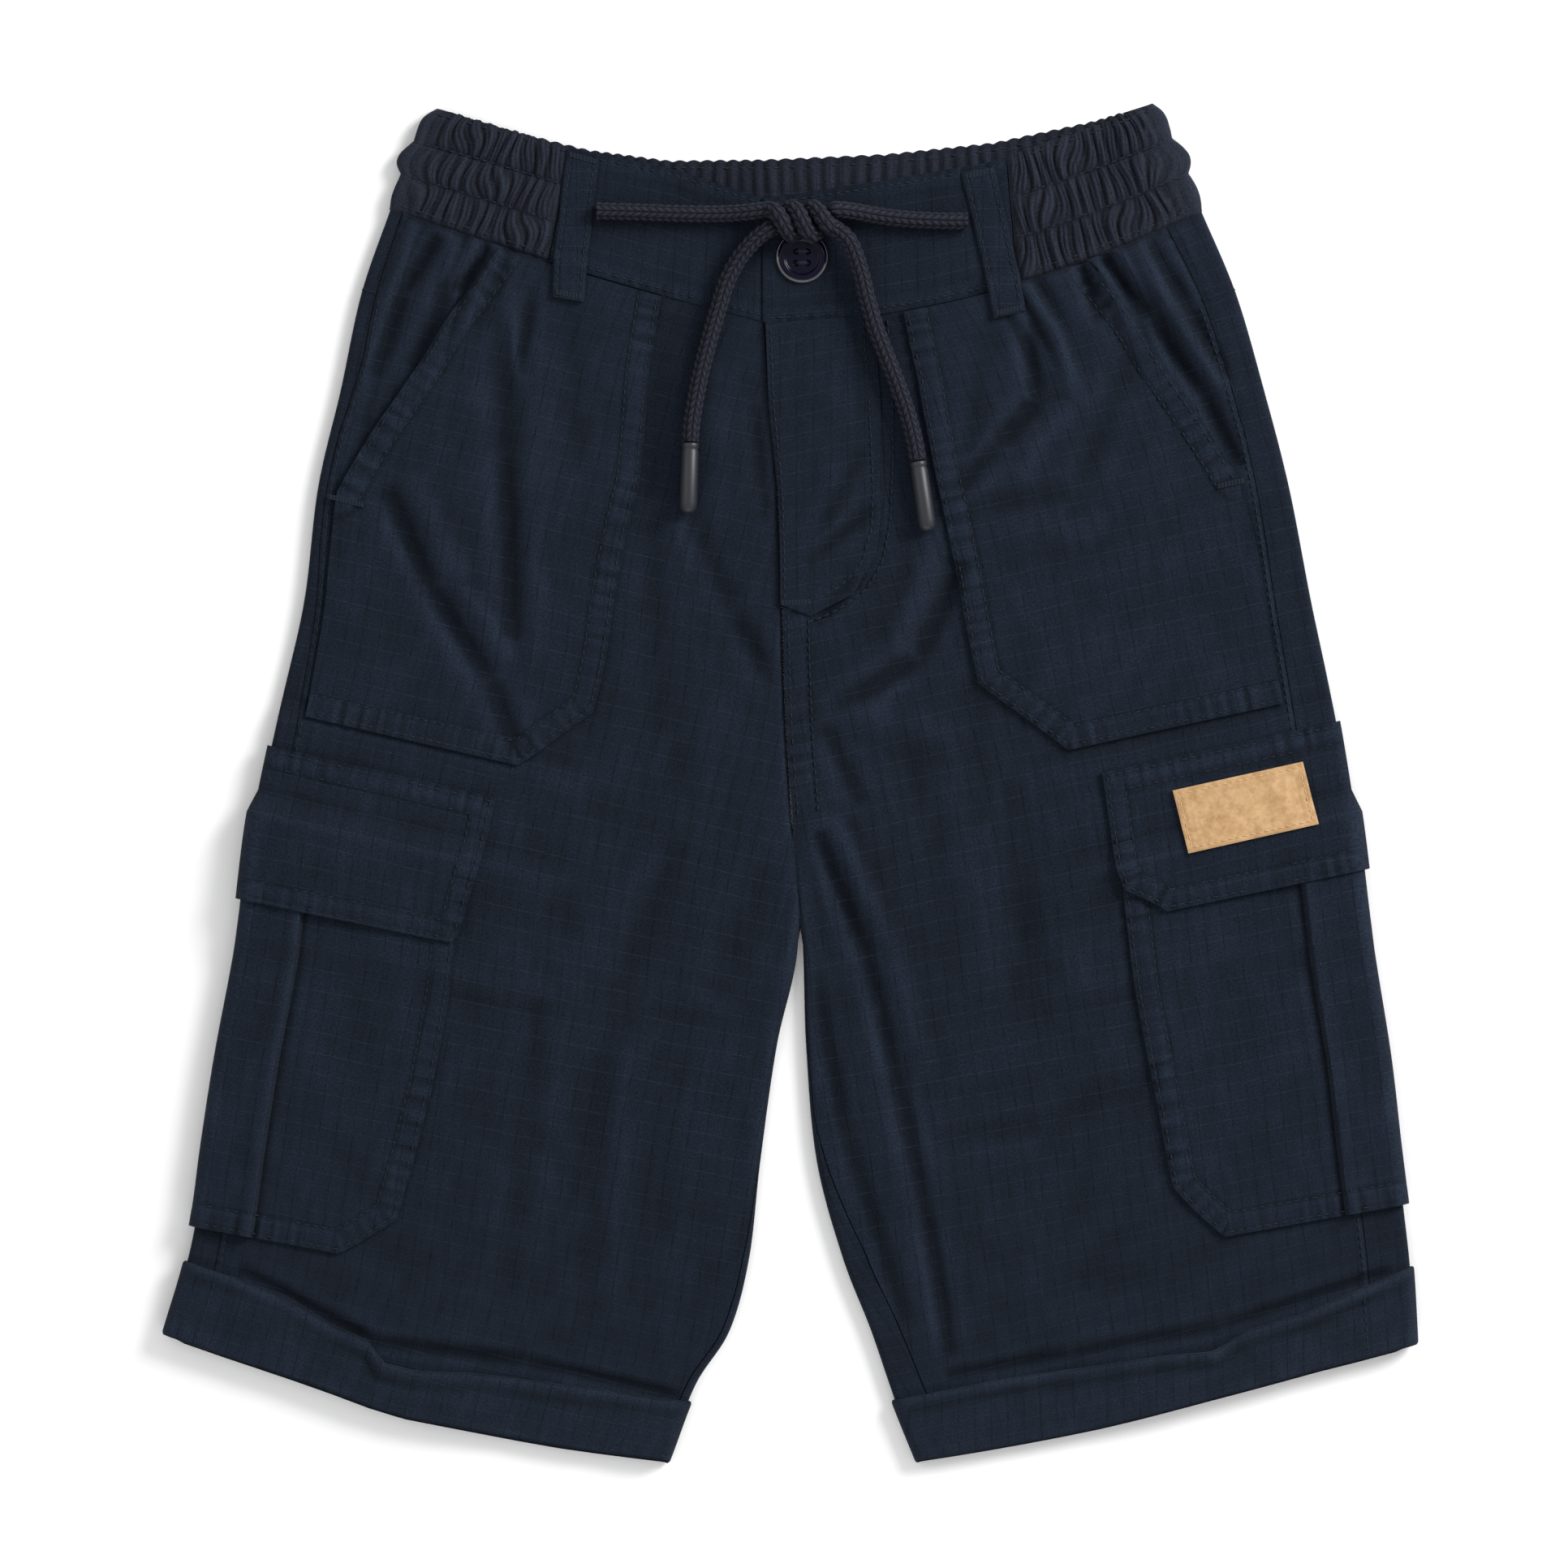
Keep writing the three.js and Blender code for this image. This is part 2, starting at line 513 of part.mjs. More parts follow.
// Waistband, a flattened tube too. Its lower edge follows the legs' first row, its upper edges are given here,
// by the way from the centre front: front edge and back edge.
const BAND_TOP = [
  { way: -116, frontX: -107, frontY: 200, backX: -107, backY: 200 },
  { way: -90, frontX: -86, frontY: 194.3, backX: -86, backY: 194 },
  { way: -62, frontX: -61, frontY: 187, backX: -60, backY: 187.5 },
  { way: -32, frontX: -36, frontY: 182.2, backX: -36, backY: 184.3 },
  { way: 0, frontX: -8, frontY: 173, backX: -8, backY: 184.6 },
  { way: 36, frontX: 27, frontY: 178.3, backX: 28, backY: 186.2 },
  { way: 70, frontX: 58, frontY: 183.6, backX: 60, backY: 189.6 },
  { way: 103, frontX: 86, frontY: 193, backX: 88, backY: 195.6 },
  { way: 134, frontX: 110.5, frontY: 201.6, backX: 110.5, backY: 201.6 },
];
const RIGHT_TOP_ROW = row(-1, 0);
const LEFT_TOP_ROW = row(1, 0);
const BAND_WIDTH = RIGHT_TOP_ROW.width + LEFT_TOP_ROW.width;
const BAND_FLAT = BAND_WIDTH - 2 * EDGE_RADIUS;
// The band's side edge swells between the stitched rows. How far it stands out by height share.
const BAND_BULGE = [
  { h: 0.012, right: 0.3, left: 0.3 },
  { h: 0.17, right: 1.2, left: 1.2 },
  { h: 0.34, right: 1.1, left: 0.3 },
  { h: 0.5, right: 3.9, left: 2.6 },
  { h: 0.67, right: 1.2, left: -0.6 },
  { h: 0.84, right: 1.4, left: -0.2 },
  { h: 1, right: 0, left: -0.9 },
];
const BAND_BULGE_REACH = 24;
const BAND_FOOT = 0.012;
function bandPlan(a, h, beneath) {
  const way = a - RIGHT_TOP_ROW.width;
  const [x0, y0] = way < 0 ? planOf(RIGHT_TOP_ROW, a) : planOf(LEFT_TOP_ROW, BAND_WIDTH - a);
  const over = Math.max(0, -a) - Math.max(0, a - BAND_WIDTH);
  const edge = beneath ? "back" : "front";
  const x1 = along(BAND_TOP, "way", way, edge + "X") - over;
  const y1 = along(BAND_TOP, "way", way, edge + "Y");
  const atRight = Math.max(0, 1 - a / BAND_BULGE_REACH) * along(BAND_BULGE, "h", h, "right");
  const atLeft = Math.max(0, 1 - (BAND_WIDTH - a) / BAND_BULGE_REACH) * along(BAND_BULGE, "h", h, "left");
  return [lerp(x0, x1, h) - atRight + atLeft, lerp(y0, y1, h)];
}
function bandPoint(p, h, off) {
  const at = section(BAND_WIDTH, p, off, 0);
  const beneath = at.z < EDGE_RADIUS;
  const [x, y] = bandPlan(at.a, h, beneath);
  return [x, y, at.z];
}

// Flat halves of the front band.
const BAND_JOIN = { right: 66.5, left: 77 };
const CENTRE_WAY = QUARTER - EDGE_RADIUS + RIGHT_TOP_ROW.width;
const FLAT_BAND_ROWS = [BAND_FOOT, 0.5, 1];
const CENTRE_OPEN = 0.2;
wall("waistband_front_right", FLAT_BAND_ROWS, [-BAND_JOIN.right + GAP, -44, -22, -CENTRE_OPEN], "cloth", (h, c, face) =>
  bandPoint(CENTRE_WAY + c, h, depth(face)),
);
wall("waistband_front_left", FLAT_BAND_ROWS, [CENTRE_OPEN, 18, 36, 56, BAND_JOIN.left - GAP], "cloth", (h, c, face) =>
  bandPoint(CENTRE_WAY + c, h, depth(face)),
);

// Elasticated sides. The gathers die down at the two stitched rows and beside the belt loop.
const GATHER_PITCH = 3.1;
const GATHER_HEIGHT = 1.3;
const SIDE_REAR = 12;
const SIDE_ROWS = [
  { h: BAND_FOOT, swell: 0.4 },
  { h: 0.17, swell: 1 },
  { h: 0.34, swell: 0.3 },
  { h: 0.5, swell: 1 },
  { h: 0.67, swell: 0.3 },
  { h: 0.84, swell: 1 },
  { h: 1, swell: 0.6 },
];
function gatherAt(way, from) {
  const wave = 0.5 - 0.5 * Math.cos((2 * Math.PI * (way - from)) / GATHER_PITCH);
  return GATHER_HEIGHT * wave;
}
for (const [leg, side] of [[-1, "right"], [1, "left"]]) {
  const from = BAND_JOIN[side];
  const width = leg < 0 ? RIGHT_TOP_ROW.width : LEFT_TOP_ROW.width;
  const waves = Math.floor((width - 7 - from) / GATHER_PITCH);
  const gathered = steps(from, from + waves * GATHER_PITCH, waves * 3);
  const toRear = [
    ...EDGE_TURNS.map((at) => ({ turn: at })),
    { rear: SIDE_REAR },
  ];
  const columns = [...gathered.map((way) => ({ way })), ...toRear];
  wall("waistband_side_" + side, SIDE_ROWS, columns, "cloth", (r, c, face) => {
    if (c.way !== undefined) {
      const fade = ease(from, from + GATHER_PITCH * 1.5, c.way);
      const swell = r.swell * fade * gatherAt(c.way, from);
      return bandPoint(CENTRE_WAY + leg * c.way, r.h, depth(face) + swell);
    }
    const half = c.turn === undefined ? -QUARTER - c.rear : c.turn * QUARTER;
    const p = leg < 0 ? half : 2 * QUARTER + BAND_FLAT - half;
    return bandPoint(p, r.h, depth(face));
  });
}

// Elasticated back band, flat beneath; its gathered inner face shows above the front band.
const BACK_PITCH = 4.4;
const BACK_SWELL = 0.9;
const BACK_ROWS = [
  { h: BAND_FOOT, swell: 0.3 },
  { h: 0.34, swell: 0.6 },
  { h: 0.5, swell: 0.9 },
  { h: 0.67, swell: 0.6 },
  { h: 0.86, swell: 1 },
  { h: 1, swell: 0.8 },
];
const BACK_FROM = QUARTER + SIDE_REAR + GAP;
const BACK_TO = QUARTER + BAND_FLAT - SIDE_REAR - GAP;
const BACK_WAVES = Math.floor((BACK_TO - BACK_FROM) / BACK_PITCH);
wall("waistband_back", BACK_ROWS, steps(0, 2 * BACK_WAVES, 2 * BACK_WAVES), "cloth", (r, i, face) => {
  const swell = face === 1 && i % 2 === 1 ? BACK_SWELL * r.swell : 0;
  return bandPoint(-lerp(BACK_FROM, BACK_TO, i / (2 * BACK_WAVES)), r.h, depth(face) - swell);
});

// Belt loops: down the band, over the pocket's top edge, and stitched there.
const LOOP_CLOTH = 1.1;
const LOOP_RISE = 1.5;
const BELT_LOOP = {
  right: [
    { nearX: -66.3, nearY: 187.5, farX: -56.6, farY: 184.8, rise: 0 },
    { nearX: -68.6, nearY: 168, farX: -58.6, farY: 166, rise: 0 },
    { nearX: -69.8, nearY: 158.5, farX: -59.8, farY: 156.5, rise: 0 },
    { nearX: -70.1, nearY: 155.5, farX: -60.1, farY: 153.5, rise: LOOP_RISE },
    { nearX: -70.6, nearY: 144, farX: -61, farY: 142.4, rise: LOOP_RISE },
  ],
  left: [
    { nearX: 60.4, nearY: 182.6, farX: 50.2, farY: 180.6, rise: 0 },
    { nearX: 65, nearY: 163, farX: 55, farY: 161, rise: 0 },
    { nearX: 67, nearY: 153.5, farX: 57.3, farY: 151, rise: 0 },
    { nearX: 67.8, nearY: 150.5, farX: 58, farY: 148, rise: LOOP_RISE },
    { nearX: 69.6, nearY: 139.8, farX: 59.9, farY: 137.4, rise: LOOP_RISE },
  ],
};
for (const side of ["right", "left"]) {
  wall("belt_loop_" + side, BELT_LOOP[side], [0, 1], "cloth", (r, c, face) => {
    const z = FLAT_TOP + GAP + r.rise + (face === 0 ? LOOP_CLOTH : 0);
    return [lerp(r.nearX, r.farX, c), lerp(r.nearY, r.farY, c), z];
  });
}

// Button with four holes, sewn to the band under the knot.
const BUTTON = { x: 3.4, y: 155.6, radius: 7.5, thick: 2, hole: 0.9, holeFrom: 1.7, sides: 36, holeSides: 10 };
const disc = new THREE.Shape();
disc.absarc(0, 0, BUTTON.radius, 0, 2 * Math.PI, false);
for (const quarter of [0, 1, 2, 3]) {
  const turn = (quarter * Math.PI) / 2 + Math.PI / 4;
  const hole = new THREE.Path();
  const far = BUTTON.holeFrom * Math.SQRT2;
  hole.absarc(far * Math.cos(turn), far * Math.sin(turn), BUTTON.hole, 0, 2 * Math.PI, true);
  disc.holes.push(hole);
}
const button = add("button", new THREE.ExtrudeGeometry(disc, {
  depth: BUTTON.thick,
  bevelEnabled: false,
  curveSegments: BUTTON.sides / 3,
}), "plastic");
button.position.set(BUTTON.x, BUTTON.y, FLAT_TOP + GAP);

// Drawcord: two ends twisted one and a half turns about each other, then free to their caps.
const CORD = { radius: 2.4, sides: 10, capRadius: 2.6, capLength: 21, capSides: 16 };
const KNOT = { from: -6, to: 13, y: 166.6, z: 9.8, radius: 2.75, turns: 1.5, points: 13 };
const RIGHT_RUN = [
  { x: -57.2, y: 169.2, z: 6.75 },
  { x: -46, y: 168.9, z: 6.75 },
  { x: -32, y: 168.4, z: 6.75 },
  { x: -20, y: 168.3, z: 7 },
  { x: -11.5, y: 168.8, z: 8.6 },
];
const LEFT_END = [
  { x: 17, y: 160.5, z: 9.4 },
  { x: 20.4, y: 152, z: 8.7 },
  { x: 22.4, y: 144, z: 8.2 },
  { x: 25, y: 135, z: 8.1 },
  { x: 28, y: 127, z: 8.1 },
  { x: 31.5, y: 118, z: 7.6 },
  { x: 34.6, y: 109, z: 6.9 },
  { x: 36.6, y: 101, z: 6.9 },
  { x: 37.6, y: 95.5, z: 6.95 },
];
const LEFT_RUN = [
  { x: 52.4, y: 166.2, z: 6.75 },
  { x: 44, y: 166.3, z: 6.75 },
  { x: 33, y: 166.9, z: 6.75 },
  { x: 24.5, y: 168, z: 7.2 },
  { x: 18.5, y: 169, z: 8.6 },
];
const RIGHT_END = [
  { x: -10, y: 161, z: 9.2 },
  { x: -14.6, y: 156, z: 8 },
  { x: -18.6, y: 149, z: 7.1 },
  { x: -21.2, y: 141, z: 6.8 },
  { x: -23.8, y: 132, z: 6.8 },
  { x: -26.4, y: 122, z: 6.8 },
  { x: -28.4, y: 112, z: 6.8 },
  { x: -29.4, y: 105, z: 6.85 },
  { x: -29.6, y: 101, z: 6.95 },
];
const CAP_END = { left: { x: 40.7, y: 74, z: 6.95 }, right: { x: -30.3, y: 79.8, z: 6.95 } };

// One strand's points through the twist. The strand from the right side runs to +X and starts at the top.
function twist(sign) {
  return steps(0, 1, KNOT.points - 1).map((t) => {
    const turn = sign * Math.PI * 2 * KNOT.turns * t;
    const x = sign > 0 ? lerp(KNOT.from, KNOT.to, t) : lerp(KNOT.to, KNOT.from, t);
    return { x, y: KNOT.y + KNOT.radius * Math.cos(turn), z: KNOT.z + KNOT.radius * Math.sin(turn) };
  });
}
const vector = (p) => new THREE.Vector3(p.x, p.y, p.z);

function addCord(name, route) {
  const curve = new THREE.CatmullRomCurve3(route.map(vector), false, "centripetal");
  const ring = new THREE.Shape();
  for (let i = 0; i < CORD.sides; i += 1) {
    const turn = (2 * Math.PI * i) / CORD.sides;
    const [x, y] = [CORD.radius * Math.cos(turn), CORD.radius * Math.sin(turn)];
    if (i === 0) ring.moveTo(x, y);
    else ring.lineTo(x, y);
  }
  const count = 56;
  add(name, new THREE.ExtrudeGeometry(ring, { steps: count, extrudePath: curve, bevelEnabled: false }), "cord");
}
function addCap(name, from, to) {
  const start = vector(from);
  const way = vector(to).sub(start).normalize();
  const cap = add(name, new THREE.CylinderGeometry(
    CORD.capRadius, CORD.capRadius, CORD.capLength, CORD.capSides, 1, false,
  ), "metal");
  cap.position.copy(start).addScaledVector(way, CORD.capLength / 2 + GAP);
  cap.quaternion.setFromUnitVectors(new THREE.Vector3(0, 1, 0), way);
}
addCord("drawcord_right", [...RIGHT_RUN, ...twist(1), ...LEFT_END]);
addCord("drawcord_left", [...LEFT_RUN, ...twist(-1), ...RIGHT_END]);
addCap("aglet_right", RIGHT_END[RIGHT_END.length - 1], CAP_END.right);
addCap("aglet_left", LEFT_END[LEFT_END.length - 1], CAP_END.left);

export default group;
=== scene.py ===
import math

import bpy
import numpy as np
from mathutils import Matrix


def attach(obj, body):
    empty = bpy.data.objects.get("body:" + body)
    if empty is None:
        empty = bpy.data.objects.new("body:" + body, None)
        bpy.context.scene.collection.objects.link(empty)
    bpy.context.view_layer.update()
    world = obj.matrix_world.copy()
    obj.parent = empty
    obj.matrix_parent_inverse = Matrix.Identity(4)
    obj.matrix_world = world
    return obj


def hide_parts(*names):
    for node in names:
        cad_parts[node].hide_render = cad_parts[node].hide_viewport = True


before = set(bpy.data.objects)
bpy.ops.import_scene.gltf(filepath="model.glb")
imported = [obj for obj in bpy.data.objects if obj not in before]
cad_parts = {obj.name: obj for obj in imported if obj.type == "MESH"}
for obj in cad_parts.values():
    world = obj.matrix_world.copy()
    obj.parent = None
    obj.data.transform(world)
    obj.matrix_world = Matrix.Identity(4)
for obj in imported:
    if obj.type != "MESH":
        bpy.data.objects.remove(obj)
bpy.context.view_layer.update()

# The camera looks straight down, as the photo does, from far off with a long lens, so that the outline has
# next to no perspective.
VIEW_WIDTH = 0.4637
VIEW_MIDDLE = (-0.0018, -0.0001)
CAMERA_HEIGHT = 2.4
CLOTH_TOP = 0.005
SENSOR = 36


def add_object(name, data):
    """An object in the scene that holds a mesh, a lamp or a camera."""
    thing = bpy.data.objects.new(name, data)
    bpy.context.scene.collection.objects.link(thing)
    return thing


camera_data = bpy.data.cameras.new("camera")
camera_data.sensor_width = SENSOR
camera_data.lens = SENSOR * (CAMERA_HEIGHT - CLOTH_TOP) / VIEW_WIDTH
camera_data.clip_start = 0.1
camera_data.clip_end = 20
camera = add_object("camera", camera_data)
camera.location = (*VIEW_MIDDLE, CAMERA_HEIGHT)
bpy.context.scene.camera = camera
bpy.context.scene.view_settings.view_transform = "Standard"

# The table: a plain white sheet, and soft light from all round with a lamp from the upper right, a weak one
# from the left and a low strip that shines in the button's rim.
FLOOR_HALF = 3.0
FLOOR_DROP = -0.0002
SKY_STRENGTH = 0.58
# place, width, height, power
LAMPS = {
    "key lamp": ((1.35, 0.95, 0.95), 0.8, 0.8, 42),
    "fill lamp": ((-1.3, 0.5, 1.6), 1.2, 1.2, 6),
    "strip lamp": ((-0.1, -1.2, 0.7), 1.6, 0.1, 5),
}


def make(tree, kind, inputs=None, **settings):
    """A shader node with its settings; each input is a value or another node's output."""
    node = tree.nodes.new(kind)
    for name, value in settings.items():
        setattr(node, name, value)
    for name, value in (inputs or {}).items():
        if isinstance(value, bpy.types.NodeSocket):
            tree.links.new(value, node.inputs[name])
        else:
            node.inputs[name].default_value = value
    return node


def new_material(name, **values):
    """A material with its main shader's values set; gives the material, its tree and that shader."""
    material = bpy.data.materials.new(name)
    material.use_nodes = True
    shader = material.node_tree.nodes["Principled BSDF"]
    for key, value in values.items():
        shader.inputs[key.replace("_", " ").title().replace("Ior", "IOR")].default_value = value
    return material, material.node_tree, shader


floor_mesh = bpy.data.meshes.new("table")
floor_mesh.from_pydata(
    [(x * FLOOR_HALF, y * FLOOR_HALF, FLOOR_DROP) for x, y in ((-1, -1), (1, -1), (1, 1), (-1, 1))],
    [], [(0, 1, 2, 3)],
)
floor = add_object("table", floor_mesh)
white, _, _ = new_material("white table", base_color=(0.93, 0.93, 0.935, 1), roughness=0.9,
                           specular_ior_level=0.0)
floor_mesh.materials.append(white)

world = bpy.data.worlds.new("studio")
bpy.context.scene.world = world
world.use_nodes = True
sky = world.node_tree.nodes["Background"]
sky.inputs["Color"].default_value = (1, 1, 1, 1)
sky.inputs["Strength"].default_value = SKY_STRENGTH

for name, (place, wide, high, power) in LAMPS.items():
    data = bpy.data.lights.new(name, "AREA")
    data.shape = "RECTANGLE"
    data.size, data.size_y = wide, high
    data.energy = power
    lamp = add_object(name, data)
    lamp.location = place
    aim = -np.array(place) / np.linalg.norm(place)
    lamp.rotation_euler = (math.acos(-aim[2]), 0, math.atan2(aim[1], aim[0]) - math.pi / 2)

# Drawcord: a round braid of charcoal and navy yarn, tied in a half knot over the button. Its hidden run lies
# in the waistband, so each end is a cord of its own from beside its belt loop to its cap.
CORD_RADIUS = 2.5
KNOT = {"from": -6, "to": 13, "y": 166.6, "z": 9.8, "radius": 2.75, "turns": 1.5, "points": 13, "drop": 0.9,
        "widen": 1.5}
RIGHT_RUN = [(-57.2, 169.2, 6.75), (-46, 168.9, 6.75), (-32, 168.4, 6.75), (-20, 168.3, 7),
             (-11.5, 168.8, 8.6)]
LEFT_END = [
    (17, 160.5, 9.4), (20.4, 152, 8.7), (22.4, 144, 8.2), (25, 135, 8.1), (28, 127, 8.1),
    (31.5, 118, 7.6), (34.6, 109, 6.9), (36.6, 101, 6.9), (37.6, 95.5, 6.95),
]
LEFT_RUN = [(52.4, 166.2, 6.75), (44, 166.3, 6.75), (33, 166.9, 6.75), (24.5, 168, 7.2), (18.5, 169, 8.6)]
RIGHT_END = [
    (-10, 161, 9.2), (-14.6, 156, 8), (-18.6, 149, 7.1), (-21.2, 141, 6.8), (-23.8, 132, 6.8),
    (-26.4, 122, 6.8), (-28.4, 112, 6.8), (-29.4, 105, 6.85), (-29.6, 101, 6.95),
]
CAP_TIP = {"left": (40.7, 74, 6.95), "right": (-30.3, 79.8, 6.95)}
CENTRING = np.array([0.14, 0.04, 0.0])


def metres(points):
    """Millimetres in the garment's own drawing to metres in the part's frame."""
    return (np.asarray(points, float) + CENTRING) / 1000


def twist(sign):
    """One strand of the knot: a helix about a level line, x steady, y and z on a circle wider midway."""
    t = np.linspace(0, 1, KNOT["points"])
    turn = sign * 2 * math.pi * KNOT["turns"] * t
    ends = (KNOT["from"], KNOT["to"]) if sign > 0 else (KNOT["to"], KNOT["from"])
    x = ends[0] + (ends[1] - ends[0]) * t
    loose = np.sin(math.pi * t) ** 2
    y = KNOT["y"] - KNOT["drop"] * loose + (KNOT["radius"] + KNOT["widen"] * loose) * np.cos(turn)
    return np.stack([x, y, KNOT["z"] + KNOT["radius"] * np.sin(turn)], 1)


def smooth_line(points, step):
    """A centripetal Catmull-Rom line through points, at even steps."""
    p = np.asarray(points, float)
    p = np.vstack([2 * p[0] - p[1], p, 2 * p[-1] - p[-2]])
    out = []
    for a, b, c, d in zip(p[:-3], p[1:-2], p[2:-1], p[3:]):
        t0 = 0.0
        t1 = t0 + np.linalg.norm(b - a) ** 0.5
        t2 = t1 + np.linalg.norm(c - b) ** 0.5
        t3 = t2 + np.linalg.norm(d - c) ** 0.5
        t = np.linspace(t1, t2, 24, endpoint=False)[:, None]
        a1 = (t1 - t) / (t1 - t0) * a + (t - t0) / (t1 - t0) * b
        a2 = (t2 - t) / (t2 - t1) * b + (t - t1) / (t2 - t1) * c
        a3 = (t3 - t) / (t3 - t2) * c + (t - t2) / (t3 - t2) * d
        b1 = (t2 - t) / (t2 - t0) * a1 + (t - t0) / (t2 - t0) * a2
        b2 = (t3 - t) / (t3 - t1) * a2 + (t - t1) / (t3 - t1) * a3
        out.append((t2 - t) / (t2 - t1) * b1 + (t - t1) / (t2 - t1) * b2)
    return even(np.vstack(out + [p[-2:-1]]), step)


def even(line, step):
    """The same line, sampled at equal steps along its length."""
    far = np.concatenate([[0], np.cumsum(np.linalg.norm(np.diff(line, axis=0), axis=1))])
    at = np.linspace(0, far[-1], max(2, int(round(far[-1] / step)) + 1))
    return np.stack([np.interp(at, far, line[:, k]) for k in range(3)], 1)


def grid_mesh(name, points, uv, sharp):
    """A tube over rings of points, millimetres: its last column joins the first and both ends are filled."""
    m, n = points.shape[:2]
    i, j = np.meshgrid(np.arange(m - 1), np.arange(n), indexing="ij")
    k = (j + 1) % n
    quads = np.stack([i * n + j, i * n + k, (i + 1) * n + k, (i + 1) * n + j], -1).reshape(-1, 4)
    quad_uv = np.stack([uv[i, j], uv[i, j + 1], uv[i + 1, j + 1], uv[i + 1, j]], -2).reshape(-1, 2)
    all_uv = np.vstack([quad_uv, np.tile(uv[0, :1], (n, 1)), np.tile(uv[-1, :1], (n, 1))])
    mesh = bpy.data.meshes.new(name)
    mesh.from_pydata(metres(points.reshape(-1, 3)), [],
                     quads.tolist() + [list(range(n - 1, -1, -1)), list(range((m - 1) * n, m * n))])
    mesh.uv_layers.new(name="cloth").data.foreach_set("uv", all_uv.astype(np.float32).ravel())
    mesh.shade_smooth()
    mesh.set_sharp_from_angle(angle=sharp)
    return add_object(name, mesh)


def tube(line, radii, sides):
    """Rings of points round a line: each ring stands square to it, its radii given by row and column."""
    way = np.gradient(line, axis=0)
    way /= np.linalg.norm(way, axis=1)[:, None]
    up = np.zeros_like(line)
    last = np.array([0, 0, 1.0])
    for row in range(len(line)):
        last = last - way[row] * (last @ way[row])
        last /= np.linalg.norm(last)
        up[row] = last
    side = np.cross(way, up)
    turn = np.linspace(0, 2 * math.pi, sides, endpoint=False)
    ring = np.cos(turn)[None, :, None] * side[:, None] + np.sin(turn)[None, :, None] * up[:, None]
    return line[:, None] + ring * radii[..., None]


def keep_wear_and_painted_shade(mesh, values):
    """Stores how proud each vertex stands, which the materials read to pale what stands proud, as wear and
    painted highlight, and to darken what is sunk, as painted shade."""
    layer = mesh.attributes.new("wear_and_painted_shade", "FLOAT", "POINT")
    layer.data.foreach_set("value", values.astype(np.float32).ravel())


def stand_for(piece, node):
    """The piece rides on the garment's one body, in a solid's place."""
    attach(piece, "root")
    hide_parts(node)


def place_in(tree):
    """The place on the object, as a texture vector."""
    return make(tree, "ShaderNodeTexCoord").outputs["Object"]


def cloth_uv(tree):
    return make(tree, "ShaderNodeUVMap", uv_map="cloth").outputs[0]


# How proud each vertex stands, read to pale ridges as wear and painted highlight and to darken hollows as
# painted shade.
def wear_and_painted_shade_in(tree):
    return make(tree, "ShaderNodeAttribute", attribute_name="wear_and_painted_shade").outputs["Fac"]


def noise(tree, vector, scale, detail, roughness=0.5, distortion=0.0):
    """A noise texture's value."""
    return make(tree, "ShaderNodeTexNoise", {"Vector": vector, "Scale": scale, "Detail": detail,
                                             "Roughness": roughness, "Distortion": distortion}).outputs[0]


def spread(tree, value, low, high, to_low=0.0, to_high=1.0, **settings):
    """A value between two limits, spread to between two others."""
    return make(tree, "ShaderNodeMapRange", {0: value, 1: low, 2: high, 3: to_low, 4: to_high},
                **settings).outputs[0]


def mix(tree, share, first, second, blend="MIX"):
    """Two colours mixed by a share."""
    return make(tree, "ShaderNodeMix", {0: share, 6: first, 7: second}, data_type="RGBA",
                blend_type=blend).outputs[2]


def shaded(tree, colour, value):
    """A colour times a value."""
    grey = make(tree, "ShaderNodeCombineXYZ", {0: value, 1: value, 2: value}).outputs[0]
    return mix(tree, 1.0, colour, grey, "MULTIPLY")


def scaled(tree, vector, by):
    """A vector times another, part by part."""
    return make(tree, "ShaderNodeVectorMath", {0: vector, 1: by}, operation="MULTIPLY").outputs[0]


def add_bump(tree, shader, height, strength, distance):
    """Joins a small relief to the shader."""
    node = make(tree, "ShaderNodeBump", {"Height": height, "Strength": strength, "Distance": distance})
    tree.links.new(node.outputs[0], shader.inputs["Normal"])


# the dark and the pale yarn, and how the braid runs
YARN_TONES = ((0.006, 0.008, 0.014, 1), (0.027, 0.028, 0.040, 1))
STRANDS = 8
BRAID_PITCH = 2.3
BRAID_SLANT = 0.8
CORD_SIDES = 56
CORD_STEP = 0.4
cord_material, tree, shader = new_material("braided cord", roughness=0.85, specular_ior_level=0.12)
yarn = spread(tree, noise(tree, scaled(tree, cloth_uv(tree), (15.0, 1.0, 1.0)), 2.6, 3.0, 0.7), 0.36, 0.64)
# The braid's pits between yarns are darkened as painted shade, and its crests are a little paled as painted
# highlight.
painted_braid_shade = spread(tree, wear_and_painted_shade_in(tree), 0.1, 0.9, 0.35, 1.15)
tree.links.new(shaded(tree, mix(tree, yarn, *YARN_TONES), painted_braid_shade), shader.inputs["Base Color"])
add_bump(tree, shader, noise(tree, place_in(tree), 2600.0, 2.0), 0.35, 0.0002)

